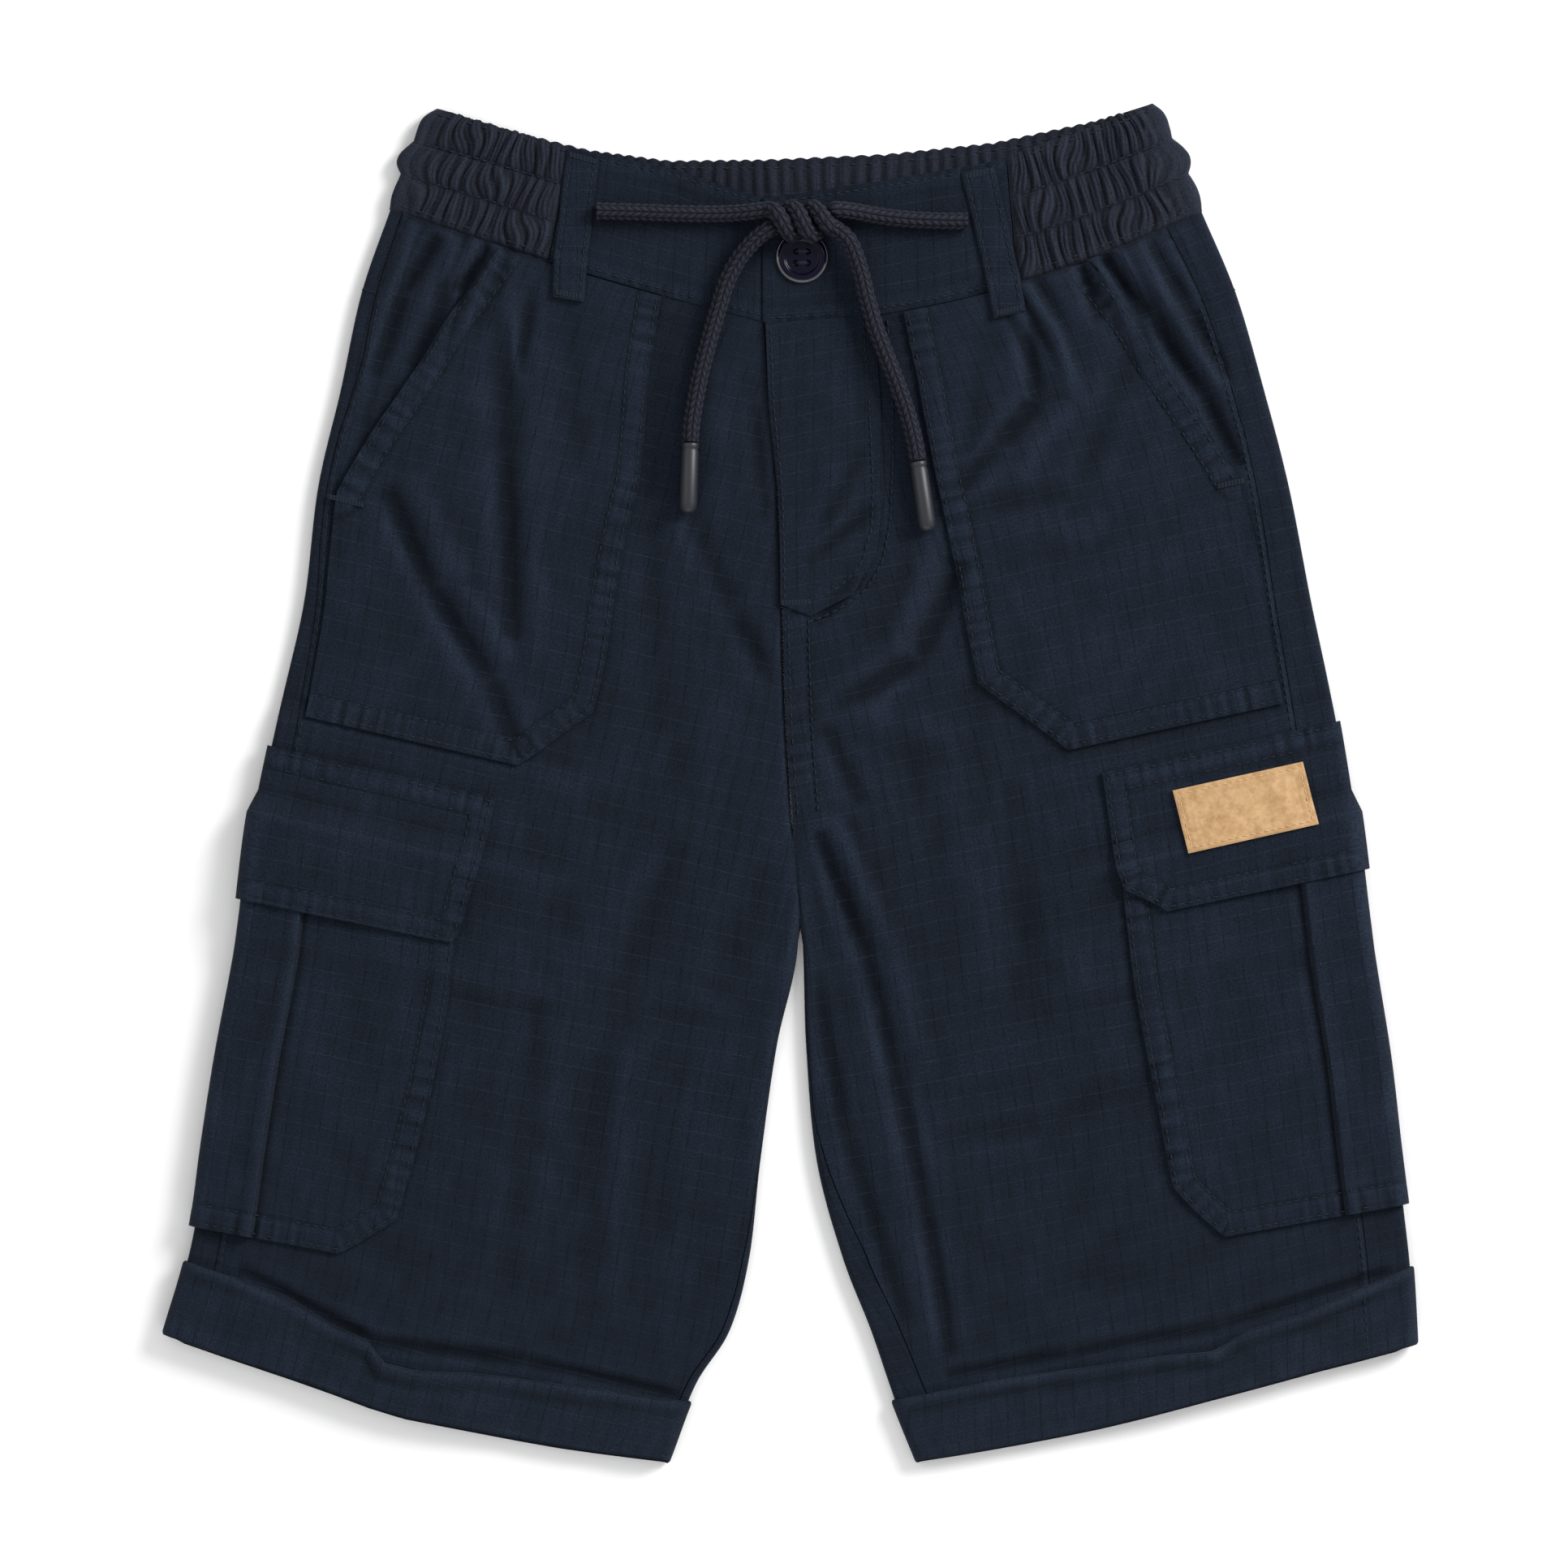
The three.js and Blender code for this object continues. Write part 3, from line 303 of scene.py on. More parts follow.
cord_lines = {
    "right": smooth_line(RIGHT_RUN + twist(1).tolist() + LEFT_END, CORD_STEP),
    "left": smooth_line(LEFT_RUN + twist(-1).tolist() + RIGHT_END, CORD_STEP),
}
cords = {}
for side, line in cord_lines.items():
    rows = np.arange(len(line))[:, None] * CORD_STEP
    column = STRANDS * np.linspace(0, 1, CORD_SIDES, endpoint=False)[None, :]
    within = column % 1
    slant = BRAID_SLANT * np.where(np.floor(column) % 2 == 0, within, 1 - within)
    yarns = np.abs(np.sin(math.pi * (rows / BRAID_PITCH + slant))) ** 0.7 * np.sin(math.pi * within) ** 0.35
    grid = tube(line, CORD_RADIUS * (0.84 + 0.22 * yarns), CORD_SIDES)
    wide = np.broadcast_to(np.linspace(0, 1, CORD_SIDES + 1)[None, :], (len(line), CORD_SIDES + 1))
    uvs = np.stack([wide, np.broadcast_to(rows, wide.shape)], -1)
    cords[side] = grid_mesh("cord-" + side, grid, uvs, 1.2)
    # The braid's relief, stored for the painted shade in its pits and the painted highlight on its crests.
    keep_wear_and_painted_shade(cords[side].data, yarns)
    cords[side].data.materials.append(cord_material)

# Cord caps: dark grey metal tubes with a rounded tip, pushed over the cord's end and crimped where it goes
# in. Each row is the distance along the cap and its radius.
CAP_SHAPE = np.array([
    (0.0, 1.2), (0.0, 2.3), (0.25, 2.5), (1.2, 2.55), (1.6, 2.35), (2.2, 2.35), (2.6, 2.55), (17.6, 2.6),
    (19.4, 2.4), (20.4, 1.8), (20.9, 0.9), (21.0, 0.15),
])
CAP_SIDES = 40
CAP_GAP = 0.3
metal, tree, shader = new_material(
    "dark grey cap", base_color=(0.022, 0.023, 0.029, 1), roughness=0.45, metallic=0.3
)
add_bump(tree, shader, noise(tree, place_in(tree), 900.0, 3.0), 0.12, 0.0001)
caps = {}
for side, other in (("right", "left"), ("left", "right")):
    end = cord_lines[side][-1]
    way = np.array(CAP_TIP[other]) - end
    way /= np.linalg.norm(way)
    line = end + way * (CAP_SHAPE[:, :1] + CAP_GAP)
    side_way = np.cross(way, (0, 0, 1.0))
    side_way /= np.linalg.norm(side_way)
    up_way = np.cross(side_way, way)
    turn = np.linspace(0, 2 * math.pi, CAP_SIDES, endpoint=False)[:, None]
    outward = np.cos(turn) * side_way + np.sin(turn) * up_way
    grid = line[:, None] + outward[None] * CAP_SHAPE[:, 1][:, None, None]
    uvs = np.stack(np.meshgrid(np.linspace(0, 1, CAP_SIDES + 1), CAP_SHAPE[:, 0]), -1)
    caps[side] = grid_mesh("cord-cap-" + side, grid, uvs, 0.9)
    caps[side].data.materials.append(metal)
    stand_for(caps[side], "aglet_" + other)
    stand_for(cords[side], "drawcord_" + side)
    centre = metres(cord_lines[side])

# Legs: fronts, backs and yokes of navy cotton ripstop, flat-felled and double-stitched. Each leg is a
# flattened tube; the side seam rolls on to the front, and near the hem so does the inseam. All below is in
# millimetres.
EDGE = 2.0
QUARTER = math.pi * EDGE / 2
FLAT_TOP = 2 * EDGE
CLOTH = 0.7
GAP = 0.3
ON_PANEL = 1.5
SOLID_WALL = 1.2
STATION_LENGTH = 31.5
# outer edge x, y, inner edge x, y, sag of the row, for each station from the waist seam to the hem
LEGS = {
    "right": np.array([
        (-118.3, 170.5, -7.9, 137.4, 1.5), (-127, 145.3, -6.2, 114.1, 0.5), (-133.2, 116.5, -4.1, 85.3, 0),
        (-139.9, 87.7, -2.9, 53.2, 0), (-144, 54.1, -1.9, 20.5, 0), (-151, 22.9, 0.2, -11.9, 0),
        (-157.9, -10.7, 2.2, -47.4, 0), (-162.5, -46.7, -4.1, -77.9, 0), (-168.7, -80.3, -8.9, -111.5, 0),
        (-172.8, -106.7, -12.2, -140.3, 0), (-175.4, -125.9, -18, -161.9, 0),
        (-178.6, -141.7, -28.1, -178, 0), (-184.6, -161.9, -36.5, -199.6, 3),
    ]),
    "left": np.array([
        (121.4, 170, -7.3, 136.6, 7.5), (131.8, 145.3, -5.6, 114.1, 4), (140.2, 116.5, -3.5, 85.3, 2),
        (147.6, 87.7, -2.3, 53.2, 0), (154.1, 54.1, -1.3, 20.5, 0), (160.6, 22.9, 0.9, -11.9, 0),
        (166.1, -10.7, 3.6, -47.4, 0), (170.6, -46.7, 4.6, -77.9, 0), (175.9, -80.3, 7.7, -111.5, 0),
        (179, -106.7, 15.4, -140.3, 0), (181.4, -125.9, 23.8, -161.9, 0), (183.4, -144.1, 31, -182.8, 0),
        (184.6, -164.8, 37.7, -199.6, 3),
    ]),
}
# station, then how far the side seam and the inseam lie on the front
SEAMS = {
    "right": np.array([(0, 5, 0), (1.6, 6, 0), (2.4, 4, 0), (3.5, 4, 0), (5.2, 7.5, 0), (7.6, 8, 0),
                       (9, 9, 3), (12, 10, 4)]),
    "left": np.array([(0, 12, 0), (1.6, 10.5, 0), (2.4, 10.3, 0), (3.5, 11.4, 0), (5.2, 13.5, 0),
                      (7.6, 14, 2), (9, 14, 8), (12, 14, 12)]),
}
LIFT = np.array([(0, 0), (4.9, 0), (5.1, 1.5), (5.75, 1.5), (5.95, 3), (6.9, 3), (7.1, 1.5), (13, 1.5)])
# ridges and troughs: from x, y to x, y, width, height
FOLDS = [
    (9, -14, 20, -47, 8, 1.1), (20, -47, 26, -95, 9, 1.3), (26, -95, 35, -139, 9, 1.3),
    (35, -139, 46, -162, 8, 1), (-79, -94, -88, -146, 8, 0.9), (-24, -104, -23, -134, 7, 0.8),
    (-6, -22, -22, -52, 8, 0.9),
]
CREASES = [
    (-118.3, 84.6, -106.1, 57.4, 3.5, -0.9), (-106.1, 57.4, -89.8, 31.6, 3.5, -1.1),
    (-89.8, 31.6, -80.7, 9.8, 4, -0.8), (-110.6, 87.7, -97.9, 59.7, 5, 0.7),
    (-97.9, 59.7, -84.3, 39.3, 4, 0.6), (-86.1, 134.4, -84.3, 95.9, 4.5, -0.7),
    (-84.3, 95.9, -82.5, 46.1, 4, -0.9), (-76.2, 127.6, -74.4, 41.5, 6, 0.6),
    (-65.3, 136.6, -64.4, 95.9, 5, -0.5), (-39.1, 134.4, -41.8, 82.3, 5, -0.8),
    (-41.8, 82.3, -40, 18.9, 6, -0.7), (-29.1, 77.8, -17.3, 50.6, 4, -0.6),
    (-17.3, 50.6, -6.4, 32.5, 4, -0.8), (-9.2, 109.5, -6, 80, 3, -0.7), (-21.8, 118.5, -20.9, 82.3, 6, 0.5),
    (-20.9, 18.9, -30, -21.9, 7, 0.5), (-34.5, -21.9, -50.4, -62.6, 6, -0.6),
    (-50.4, -62.6, -65.3, -121.5, 6, -0.5), (-74.4, -67.1, -84.3, -148.6, 5, -0.5),
    (-59.4, -40, -75.3, -94.3, 8, 0.5), (-39.1, -67.1, -20.9, -70.8, 5, -0.3),
    (-7.4, -21.9, -20.9, -58.1, 6, -0.6), (-27.7, -85.2, -34.5, -144.1, 7, 0.5),
    (-97.9, -21.9, -102.4, -112.4, 7, 0.3), (-49, -80.7, -53.5, -157.7, 5, 0.45),
    (-77.5, -3.7, -43.6, 5.3, 8, 0.4), (-84.3, 5.3, -70.7, -21.9, 6, -0.4),
    (-112.4, 163.8, -125.1, 127.6, 3, 0.9), (-125.1, 127.6, -134.1, 95.9, 3, 0.7),
    (-105.2, 160.2, -115.1, 145.7, 2.6, -1.1), (-115.1, 145.7, -122.4, 123, 3, -0.9),
    (-89.8, 157, -99.7, 145.7, 2.4, -1), (-97.9, 159.3, -102.4, 150.2, 2.4, 0.8),
    (-99.7, 145.7, -111.5, 125.3, 3.5, -0.7), (-77.5, 145.7, -79.8, 123, 3, -0.6),
    (22.5, 80, 6.2, 66.4, 3, -0.8), (18, 59.7, 8.5, 48.3, 2.5, -0.6), (49.2, 63.3, 37.9, 37, 4, -1.1),
    (37.9, 37, 16.2, 24.3, 4, -1), (42.5, 73.2, 31.1, 41.5, 4, 0.6), (19.8, 95.9, 8.5, 73.2, 3, -0.5),
    (13, 23.4, 47, 14.4, 6, 0.5), (31.1, 25.7, 37.9, -3.7, 5, -0.5), (11.2, 14.4, 19.8, -3.7, 3, -0.6),
    (53.3, 25.7, 56, -8.3, 6, -0.5), (65.1, -3.7, 68.7, -67.1, 7, -0.5), (49.2, -3.7, 58.3, -58.1, 8, 0.5),
    (8.9, -16.4, 22.5, -51.3, 2.6, -1), (22.5, -51.3, 30.7, -85.2, 2.6, -0.9),
    (30.7, -85.2, 39.7, -126, 2.8, -0.8), (39.7, -126, 47, -166.8, 2.8, -0.9),
    (13.5, -12.8, 29.8, -49, 3.5, 0.7), (29.8, -49, 39.7, -85.2, 4, 0.6),
    (6.2, -58.1, 16.2, -103.4, 3, -0.6), (16.2, -103.4, 33.4, -157.7, 3, -0.5),
    (47, -104.3, 74.2, -101.1, 5, -0.5), (74.2, -101.1, 103.6, -87.5, 6, -0.45),
    (56, -85.2, 83.2, -80.7, 7, 0.4), (60.6, -130.5, 83.2, -162.2, 8, 0.4), (78.7, -40, 92.3, -76.2, 8, 0.4),
    (19.8, 5.3, 37.9, -21.9, 8, 0.35), (70.5, 134.4, 72.3, 113.1, 3, -0.9),
    (72.3, 113.1, 61.5, 100.4, 3.5, -0.9), (61.5, 100.4, 49.7, 86.8, 4, -0.7),
    (78.7, 134.4, 83.2, 113.1, 4, 0.6), (83.2, 113.1, 68.7, 93.6, 4.5, 0.6),
    (99.1, 123, 83.2, 82.3, 5, -0.5), (56, 82.3, 83.2, 85.9, 5, -0.6), (60.6, 73.2, 92.3, 75.5, 6, 0.45),
    (110.4, 95.9, 92.3, 50.6, 8, 0.4), (83.2, 50.6, 124, 55.1, 8, -0.4), (56, 127.6, 53.3, 95.9, 4, -0.4),
    (91.4, 158.4, 106.8, 137.5, 2.6, -1.2), (106.8, 137.5, 122.1, 114.9, 2.8, -1.2),
    (122.1, 114.9, 132.1, 95.9, 2.8, -1.2), (96.8, 160.2, 113.1, 138.9, 2.8, 0.8),
    (113.1, 138.9, 128.5, 116.3, 3, 0.7), (106.8, 159.3, 117.6, 141.2, 2.4, -1),
    (117.6, 141.2, 128.5, 120.8, 2.6, -0.8), (85.9, 154.7, 90.5, 138.9, 2.6, -0.8),
    (-129.6, -58.1, -131.9, -112.4, 7, -0.35), (-122.8, -21.9, -156.8, -21.9, 6, 0.3),
    (128.5, -58.1, 135.3, -112.4, 8, -0.35), (110.4, -62.6, 114.9, -112.4, 6, 0.3),
    (83.2, -147.7, 110.4, -149.5, 6, -0.4), (-161.3, -153.2, -127.3, -158.6, 6, 0.3),
    (146.6, -21.9, 110.4, -28.6, 5, -0.25), (-161.3, -144.5, -122.8, -165, 2.6, -0.8),
    (-122.8, -165, -79.8, -170.5, 2.6, -0.9), (-79.8, -170.5, -34.5, -180.6, 2.4, -0.7),
    (48, -174.5, 83.2, -168.2, 2.4, -0.7), (83.2, -168.2, 126.2, -160.5, 2.6, -0.8),
    (126.2, -160.5, 176, -144.2, 2.4, -0.7),
]
CREASE_DEPTH = 2.5
GATHER_FALL = 2.0
SLOW_RELIEF = 0.2
FINE_RELIEF = 0.12
# the relief fades this near to a fold
EDGE_FADE = 8
# where the band's gathers run out down the leg, and how far in from its outer and inner edge they lie
GATHERED = {"down": (0.2, 1.7), "outer": (4, 12), "inner": (-82, -66)}
# how far in the pocket lifts the leg: full to the first, none past the second, in front and at the rear
LIFTED = {"front": (74, 112), "rear": (52, 90)}


def ease(low, high, x):
    """From none at the low limit to one at the high one, with no corner at either."""
    t = np.clip((x - low) / (high - low), 0, 1)
    return t * t * (3 - 2 * t)


def bell(far, wide):
    """One at no distance, fading evenly on both sides."""
    return np.exp(-((far / wide) ** 2))


CROTCH = (5.0, 5.6)
# the stations over which the centre seam's overlap runs out
SEAM_CLOSES = (4.6, 5.2)


def joined_at(station):
    """One where a leg's front runs on into the other leg's, none below the crotch."""
    return 1 - ease(*CROTCH, station)


def off_line(x, y, x0, y0, x1, y1):
    """Distance in plan from a line, and the share of the way along it."""
    dx, dy = x1 - x0, y1 - y0
    t = np.clip(((x - x0) * dx + (y - y0) * dy) / (dx * dx + dy * dy), 0, 1)
    return np.hypot(x - x0 - t * dx, y - y0 - t * dy), t

# how far each leg's inner edge leans on the other between the crotch and the parting
LEGS_MEET = {"right": 0.9, "left": -0.9}


def leg_rows(side, station):
    """Smooth curve through the leg's rows at each station; past the hem it runs on straight."""
    table = LEGS[side]
    last = len(table) - 1
    i = np.clip(np.floor(station).astype(int), 0, last - 1)
    f = (station - i)[..., None]
    b, c = table[i], table[i + 1]
    a = np.where((i > 0)[..., None], table[np.maximum(i - 1, 0)], 2 * b - c)
    d = np.where((i + 2 <= last)[..., None], table[np.minimum(i + 2, last)], 2 * c - b)
    curve = 0.5 * (2 * b + (c - a) * f + (2 * a - 5 * b + 4 * c - d) * f**2 + (3 * b - a - 3 * c + d) * f**3)
    curve = np.where(f > 1, c + (f - 1) * (c - b), curve)
    curve[..., 2] += LEGS_MEET[side] * ease(4.9, 5.2, station) * (1 - ease(5.75, 6.0, station))
    return curve


def plan_of(rows, a):
    """Plan point at the way a along a row: outer edge plus direction times a, less the row's sag."""
    out, inner, sag = rows[..., :2], rows[..., 2:4], rows[..., 4]
    width = np.linalg.norm(inner - out, axis=-1)
    s = np.clip(a / width, 0, 1)
    xy = out + (inner - out) / width[..., None] * a[..., None]
    xy[..., 1] -= sag * 4 * s * (1 - s)
    return xy, width


def section(width, p, off, joined):
    """A flattened tube's section: quarter circles at both folds, flat between; off is outwards."""
    side = np.where(p < 0, -1.0, 1.0)
    way = np.abs(p)
    reach = width - 2 * EDGE
    radius = EDGE + off
    turn = np.minimum(way, QUARTER) / EDGE
    a = np.where(way <= QUARTER, EDGE - radius * np.cos(turn), EDGE + way - QUARTER)
    h = np.where(way <= QUARTER, radius * np.sin(turn), radius)
    past = way - QUARTER - reach
    turn = np.clip(past, 0, 2 * QUARTER) / EDGE
    round_a = width - EDGE + (1 - joined) * radius * np.sin(turn) + joined * past
    round_h = (1 - joined) * radius * np.cos(turn) + joined * radius
    a = np.where(past > 0, round_a, a)
    h = np.where(past > 0, round_h, h)
    a = np.where(past > 2 * QUARTER, width - EDGE - past + 2 * QUARTER, a)
    h = np.where(past > 2 * QUARTER, -radius, h)
    return a, EDGE + side * h


def relief(x, y):
    """Height of the large folds, as in the solids, plus soft creases: bells across their lines, fading
    at the ends."""
    high, ridge, trough = np.zeros_like(x), np.zeros_like(x), np.zeros_like(x)
    for *ends, wide, tall in FOLDS:
        high = np.maximum(high, tall * bell(off_line(x, y, *ends)[0], wide))
    for *ends, wide, tall in CREASES:
        far, t = off_line(x, y, *ends)
        crease = CREASE_DEPTH * tall * bell(far, wide) * (1 - 0.4 * np.abs(2 * t - 1) ** 3)
        ridge = np.maximum(ridge, crease)
        trough = np.minimum(trough, crease)
    slow = np.sin(x / 6.3 + 1.9 * np.sin(y / 17)) * np.sin(y / 12.1 + 1.7 * np.sin(x / 21))
    fine = np.sin(x / 3.1 + 2.3 * np.sin(y / 9)) * np.sin(y / 7.1 + 2.1 * np.sin(x / 11))
    return high + ridge + trough + SLOW_RELIEF * slow + FINE_RELIEF * fine


def leg_point(side, station, p, off):
    """Point of a leg: station down the leg, way round from the outer fold, distance off the solid's
    outer face."""
    station, p, off = np.broadcast_arrays(np.asarray(station, float), p, off)
    rows = leg_rows(side, station)
    width = np.linalg.norm(rows[..., 2:4] - rows[..., :2], axis=-1)
    a, z = section(width, p, off, joined_at(station))
    xy, _ = plan_of(rows, a)
    top = ease(QUARTER, QUARTER + EDGE_FADE, p) * ease(0, EDGE_FADE, width - a)
    fall = (1 - ease(*GATHERED["down"], station)) * ease(*GATHERED["outer"], p)
    fall = fall * (1 - ease(*GATHERED["inner"], a - width))
    fall = fall * np.abs(np.cos(p / 2.9 + 0.8 * np.sin(p / 4.7) + 0.5 * station)) ** 1.6
    rise = ease(-0.02, 0.13, station) * (relief(xy[..., 0], xy[..., 1]) + GATHER_FALL * fall)
    under_pocket = np.where(p > 0, 1 - ease(*LIFTED["front"], p), 1 - ease(*LIFTED["rear"], -p))
    z = z + under_pocket * np.interp(station, LIFT[:, 0], LIFT[:, 1]) + top * rise
    return np.concatenate([xy, z[..., None]], -1)


def leg_width(side, station):
    """Width of a leg laid flat."""
    rows = leg_rows(side, np.asarray(station, float))
    return np.linalg.norm(rows[..., 2:4] - rows[..., :2], axis=-1)


def side_seam(side, station):
    """How far the side seam lies on the front."""
    return np.interp(station, SEAMS[side][:, 0], SEAMS[side][:, 1])


def inner_seam(side, station, sign):
    """Way round to the inner seam, from the front (sign -1) or from beneath (sign 1)."""
    joined = joined_at(station)
    parted = QUARTER + sign * np.interp(station, SEAMS[side][:, 0], SEAMS[side][:, 2]) - GAP / 2
    return QUARTER + leg_width(side, station) - 2 * EDGE + joined * (EDGE - 0.2) + (1 - joined) * parted


# How far round the cloth's height is averaged, and the height over it that counts in full, for the paled wear
# and the painted shade in hollows.
WEAR_AND_SHADE_REACH = 1.8
WEAR_AND_SHADE_HEIGHT = 0.3


def standing(points):
    """How far each grid point stands over the cloth round it: 1 at the height set above or more over, -1 as
    far under. The materials pale what stands proud as wear and painted highlight, and darken what is sunk as
    painted shade."""
    level = points[..., 2]
    for axis in (0, 1):
        gap = np.linalg.norm(np.diff(points, axis=axis), axis=2).mean()
        level = np.moveaxis(level, axis, 0)
        for _ in range(int(min(120, 2 * (WEAR_AND_SHADE_REACH / gap) ** 2)) + 1):
            padded = np.concatenate([level[:1], level, level[-1:]])
            level = 0.25 * padded[:-2] + 0.5 * level + 0.25 * padded[2:]
        level = np.moveaxis(level, 0, axis)
    return np.clip((points[..., 2] - level) / WEAR_AND_SHADE_HEIGHT, -1, 1)


def signed_volume(vertices, quads):
    """Sum over the faces' triangles of the corner product over six."""
    a, b, c, d = (vertices[quads[:, k]] for k in range(4))
    first_half = np.einsum("ij,ij->i", a, np.cross(b, c))
    second_half = np.einsum("ij,ij->i", a, np.cross(c, d))
    return float((first_half + second_half).sum() / 6)


def shell(name, outer, inner, uv, material, node=None, coarse=3):
    """A closed thin wall: the outer grid, turned at its edge to the inner one, which keeps one column
    in so many."""
    m, n = outer.shape[:2]
    keep = np.unique(np.append(np.arange(0, n, coarse), n - 1))

    def ring(front, back):
        return np.concatenate([front, back[:, keep][:, ::-1]], 1)

    total = n + len(keep)
    uvs = np.concatenate([ring(uv, uv), uv[:, :1]], 1)
    i, j = np.meshgrid(np.arange(m - 1), np.arange(total), indexing="ij")
    row, after = i * total, (j + 1) % total
    wall = np.stack([row + j, row + after, row + total + after, row + total + j], -1).reshape(-1, 4)
    wall_uv = np.stack([uvs[i, j], uvs[i, j + 1], uvs[i + 1, j + 1], uvs[i + 1, j]], -2).reshape(-1, 2)
    beneath = total - np.searchsorted(keep, np.arange(n), side="right")
    j = np.arange(n - 1)
    end = np.stack([j, beneath[:-1], beneath[1:], j + 1], -1)
    ends = np.concatenate([end, end[:, ::-1] + (m - 1) * total])
    vertices = metres(ring(outer, inner).reshape(-1, 3))
    plain = np.concatenate([beneath[:-1] != beneath[1:]] * 2)
    faces = wall.tolist() + ends[plain].tolist() + ends[~plain][:, [0, 1, 3]].tolist()
    mesh = bpy.data.meshes.new(name)
    mesh.from_pydata(vertices, [], faces)
    all_uv = np.zeros((sum(map(len, faces)), 2), np.float32)
    all_uv[:len(wall_uv)] = wall_uv
    mesh.uv_layers.new(name="cloth").data.foreach_set("uv", all_uv.ravel())
    # Stores the relief that the materials turn into paled wear and painted highlight on ridges and painted
    # shade in hollows.
    keep_wear_and_painted_shade(mesh, ring(standing(outer), standing(inner)))
    mesh.shade_smooth()
    mesh.set_sharp_from_angle(angle=1.0)
    piece = add_object(name, mesh)
    if signed_volume(vertices, np.concatenate([wall, ends])) < 0:
        mesh.flip_normals()
    mesh.materials.append(material)
    stand_for(piece, node or name.replace("-", "_"))
    return piece


NAVY = (0.0067, 0.0099, 0.0170)
PALE_THREAD = (0.017, 0.028, 0.043, 1)
DARK_THREAD = (0.002, 0.003, 0.006, 1)
PALE_PITCH = 5.6
DARK_PITCH = 5.0
WEFT_PITCH = 0.56


def math_node(tree, operation, a, b=0.0):
    """One sum of two values."""
    return make(tree, "ShaderNodeMath", {0: a, 1: b}, operation=operation).outputs[0]


def ripstop(name, tone):
    """Navy ripstop, UV in millimetres: single pale threads across and dark ones along, fine weft, and from
    the stored relief, wear and painted highlight on what stands proud and painted shade in what is sunk.
    """
    material, tree, shader = new_material(name, roughness=0.95, specular_ior_level=0.05)
    uv = cloth_uv(tree)
    parts = make(tree, "ShaderNodeSeparateXYZ", {0: uv})
    wander = math_node(tree, "MULTIPLY", noise(tree, uv, 0.035, 1.0), 1.6)
    broken = noise(tree, uv, 0.22, 2.0)

    def threads(axis, pitch, half, low, high):
        run = math_node(tree, "DIVIDE", math_node(tree, "ADD", parts.outputs[axis], wander), pitch)
        near = math_node(tree, "ABSOLUTE", math_node(tree, "SUBTRACT", math_node(tree, "FRACT", run), 0.5))
        line = spread(tree, math_node(tree, "MULTIPLY", near, pitch), half * 0.35, half, 1.0, 0.0,
                      interpolation_type="SMOOTHSTEP")
        return math_node(tree, "MULTIPLY", line, spread(tree, broken, low, high, 0.1, 1.0))

    pale = threads(1, PALE_PITCH, 0.3, 0.32, 0.55)
    dark = threads(0, DARK_PITCH, 0.36, 0.36, 0.62)
    grain = noise(tree, uv, 1.5, 2.0, 0.7)
    across = math_node(tree, "MULTIPLY", parts.outputs[1], 2 * math.pi / WEFT_PITCH)
    weft = math_node(tree, "SINE", math_node(tree, "ADD", across, math_node(tree, "MULTIPLY", grain, 5.0)))
    mottle = noise(tree, uv, 0.05, 3.0)
    streak = noise(tree, scaled(tree, uv, (0.42, 0.06, 1.0)), 1.0, 3.0)
    shade = 1.0
    # Among these factors, the stored relief pales ridges as wear and painted highlight and darkens creases,
    # gathers and hollows as painted shade.
    for value, low, high, darkest, palest in (
        (weft, -1.0, 1.0, 0.78, 1.22), (mottle, 0.3, 0.7, 0.85, 1.15), (streak, 0.3, 0.7, 0.87, 1.13),
        (wear_and_painted_shade_in(tree), -1.0, 1.0, 0.64, 1.5), (grain, 0.25, 0.75, 0.5, 1.5),
    ):
        shade = math_node(tree, "MULTIPLY", shade, spread(tree, value, low, high, darkest, palest))
    colour = shaded(tree, tuple(v * t for v, t in zip(NAVY, tone)) + (1,), shade)
    colour = mix(tree, math_node(tree, "MULTIPLY", pale, 0.3), colour, PALE_THREAD)
    colour = mix(tree, math_node(tree, "MULTIPLY", dark, 0.45), colour, DARK_THREAD)
    tree.links.new(colour, shader.inputs["Base Color"])
    proud = math_node(tree, "MULTIPLY", math_node(tree, "SUBTRACT", pale, dark), 0.7)
    add_bump(tree, shader, math_node(tree, "ADD", grain, proud), 0.6, 0.00014)
    shader.inputs["Sheen Weight"].default_value = 0.03
    shader.inputs["Sheen Roughness"].default_value = 0.6
    return material


navy = ripstop("navy ripstop", (1, 1, 1))
navy_pocket = ripstop("navy ripstop, pockets", (1.08, 1.08, 1.08))
navy_turned = ripstop("navy ripstop, turn-ups", (1.2, 1.2, 1.17))
navy_gathered = ripstop("navy ripstop, gathered band", (1.6, 1.3, 1.15))


def leg_uv(station, p, slide=(0, 0)):
    """UV in millimetres: across by the way round, along by the station, moved so that pieces don't match."""
    station, p = np.broadcast_arrays(station, p)
    return np.stack([p + slide[0], -station * STATION_LENGTH + slide[1]], -1)


def leg_piece(name, side, stations, way, off, inner_off, material, slide):
    """A wall of cloth on a leg between two distances off the solid's outer face; gives its outer face too."""
    outer, inner = leg_point(side, stations, way, off), leg_point(side, stations, way, inner_off)
    return shell(name + "-" + side, outer, inner, leg_uv(stations, way, slide), material), outer


thread_paths = []


def seam(points):
    """Remembers a line of stitches to sew at the end, in millimetres on the cloth's face."""
    thread_paths.append(np.asarray(points, float))


def beside(distance, near, far):
    """One on a seam's folded band beside an edge, none past it, where distance is from that edge."""
    return 1 - ease(near, far, distance)


SEAM_SWELL = 0.36
PUCKER = 0.19


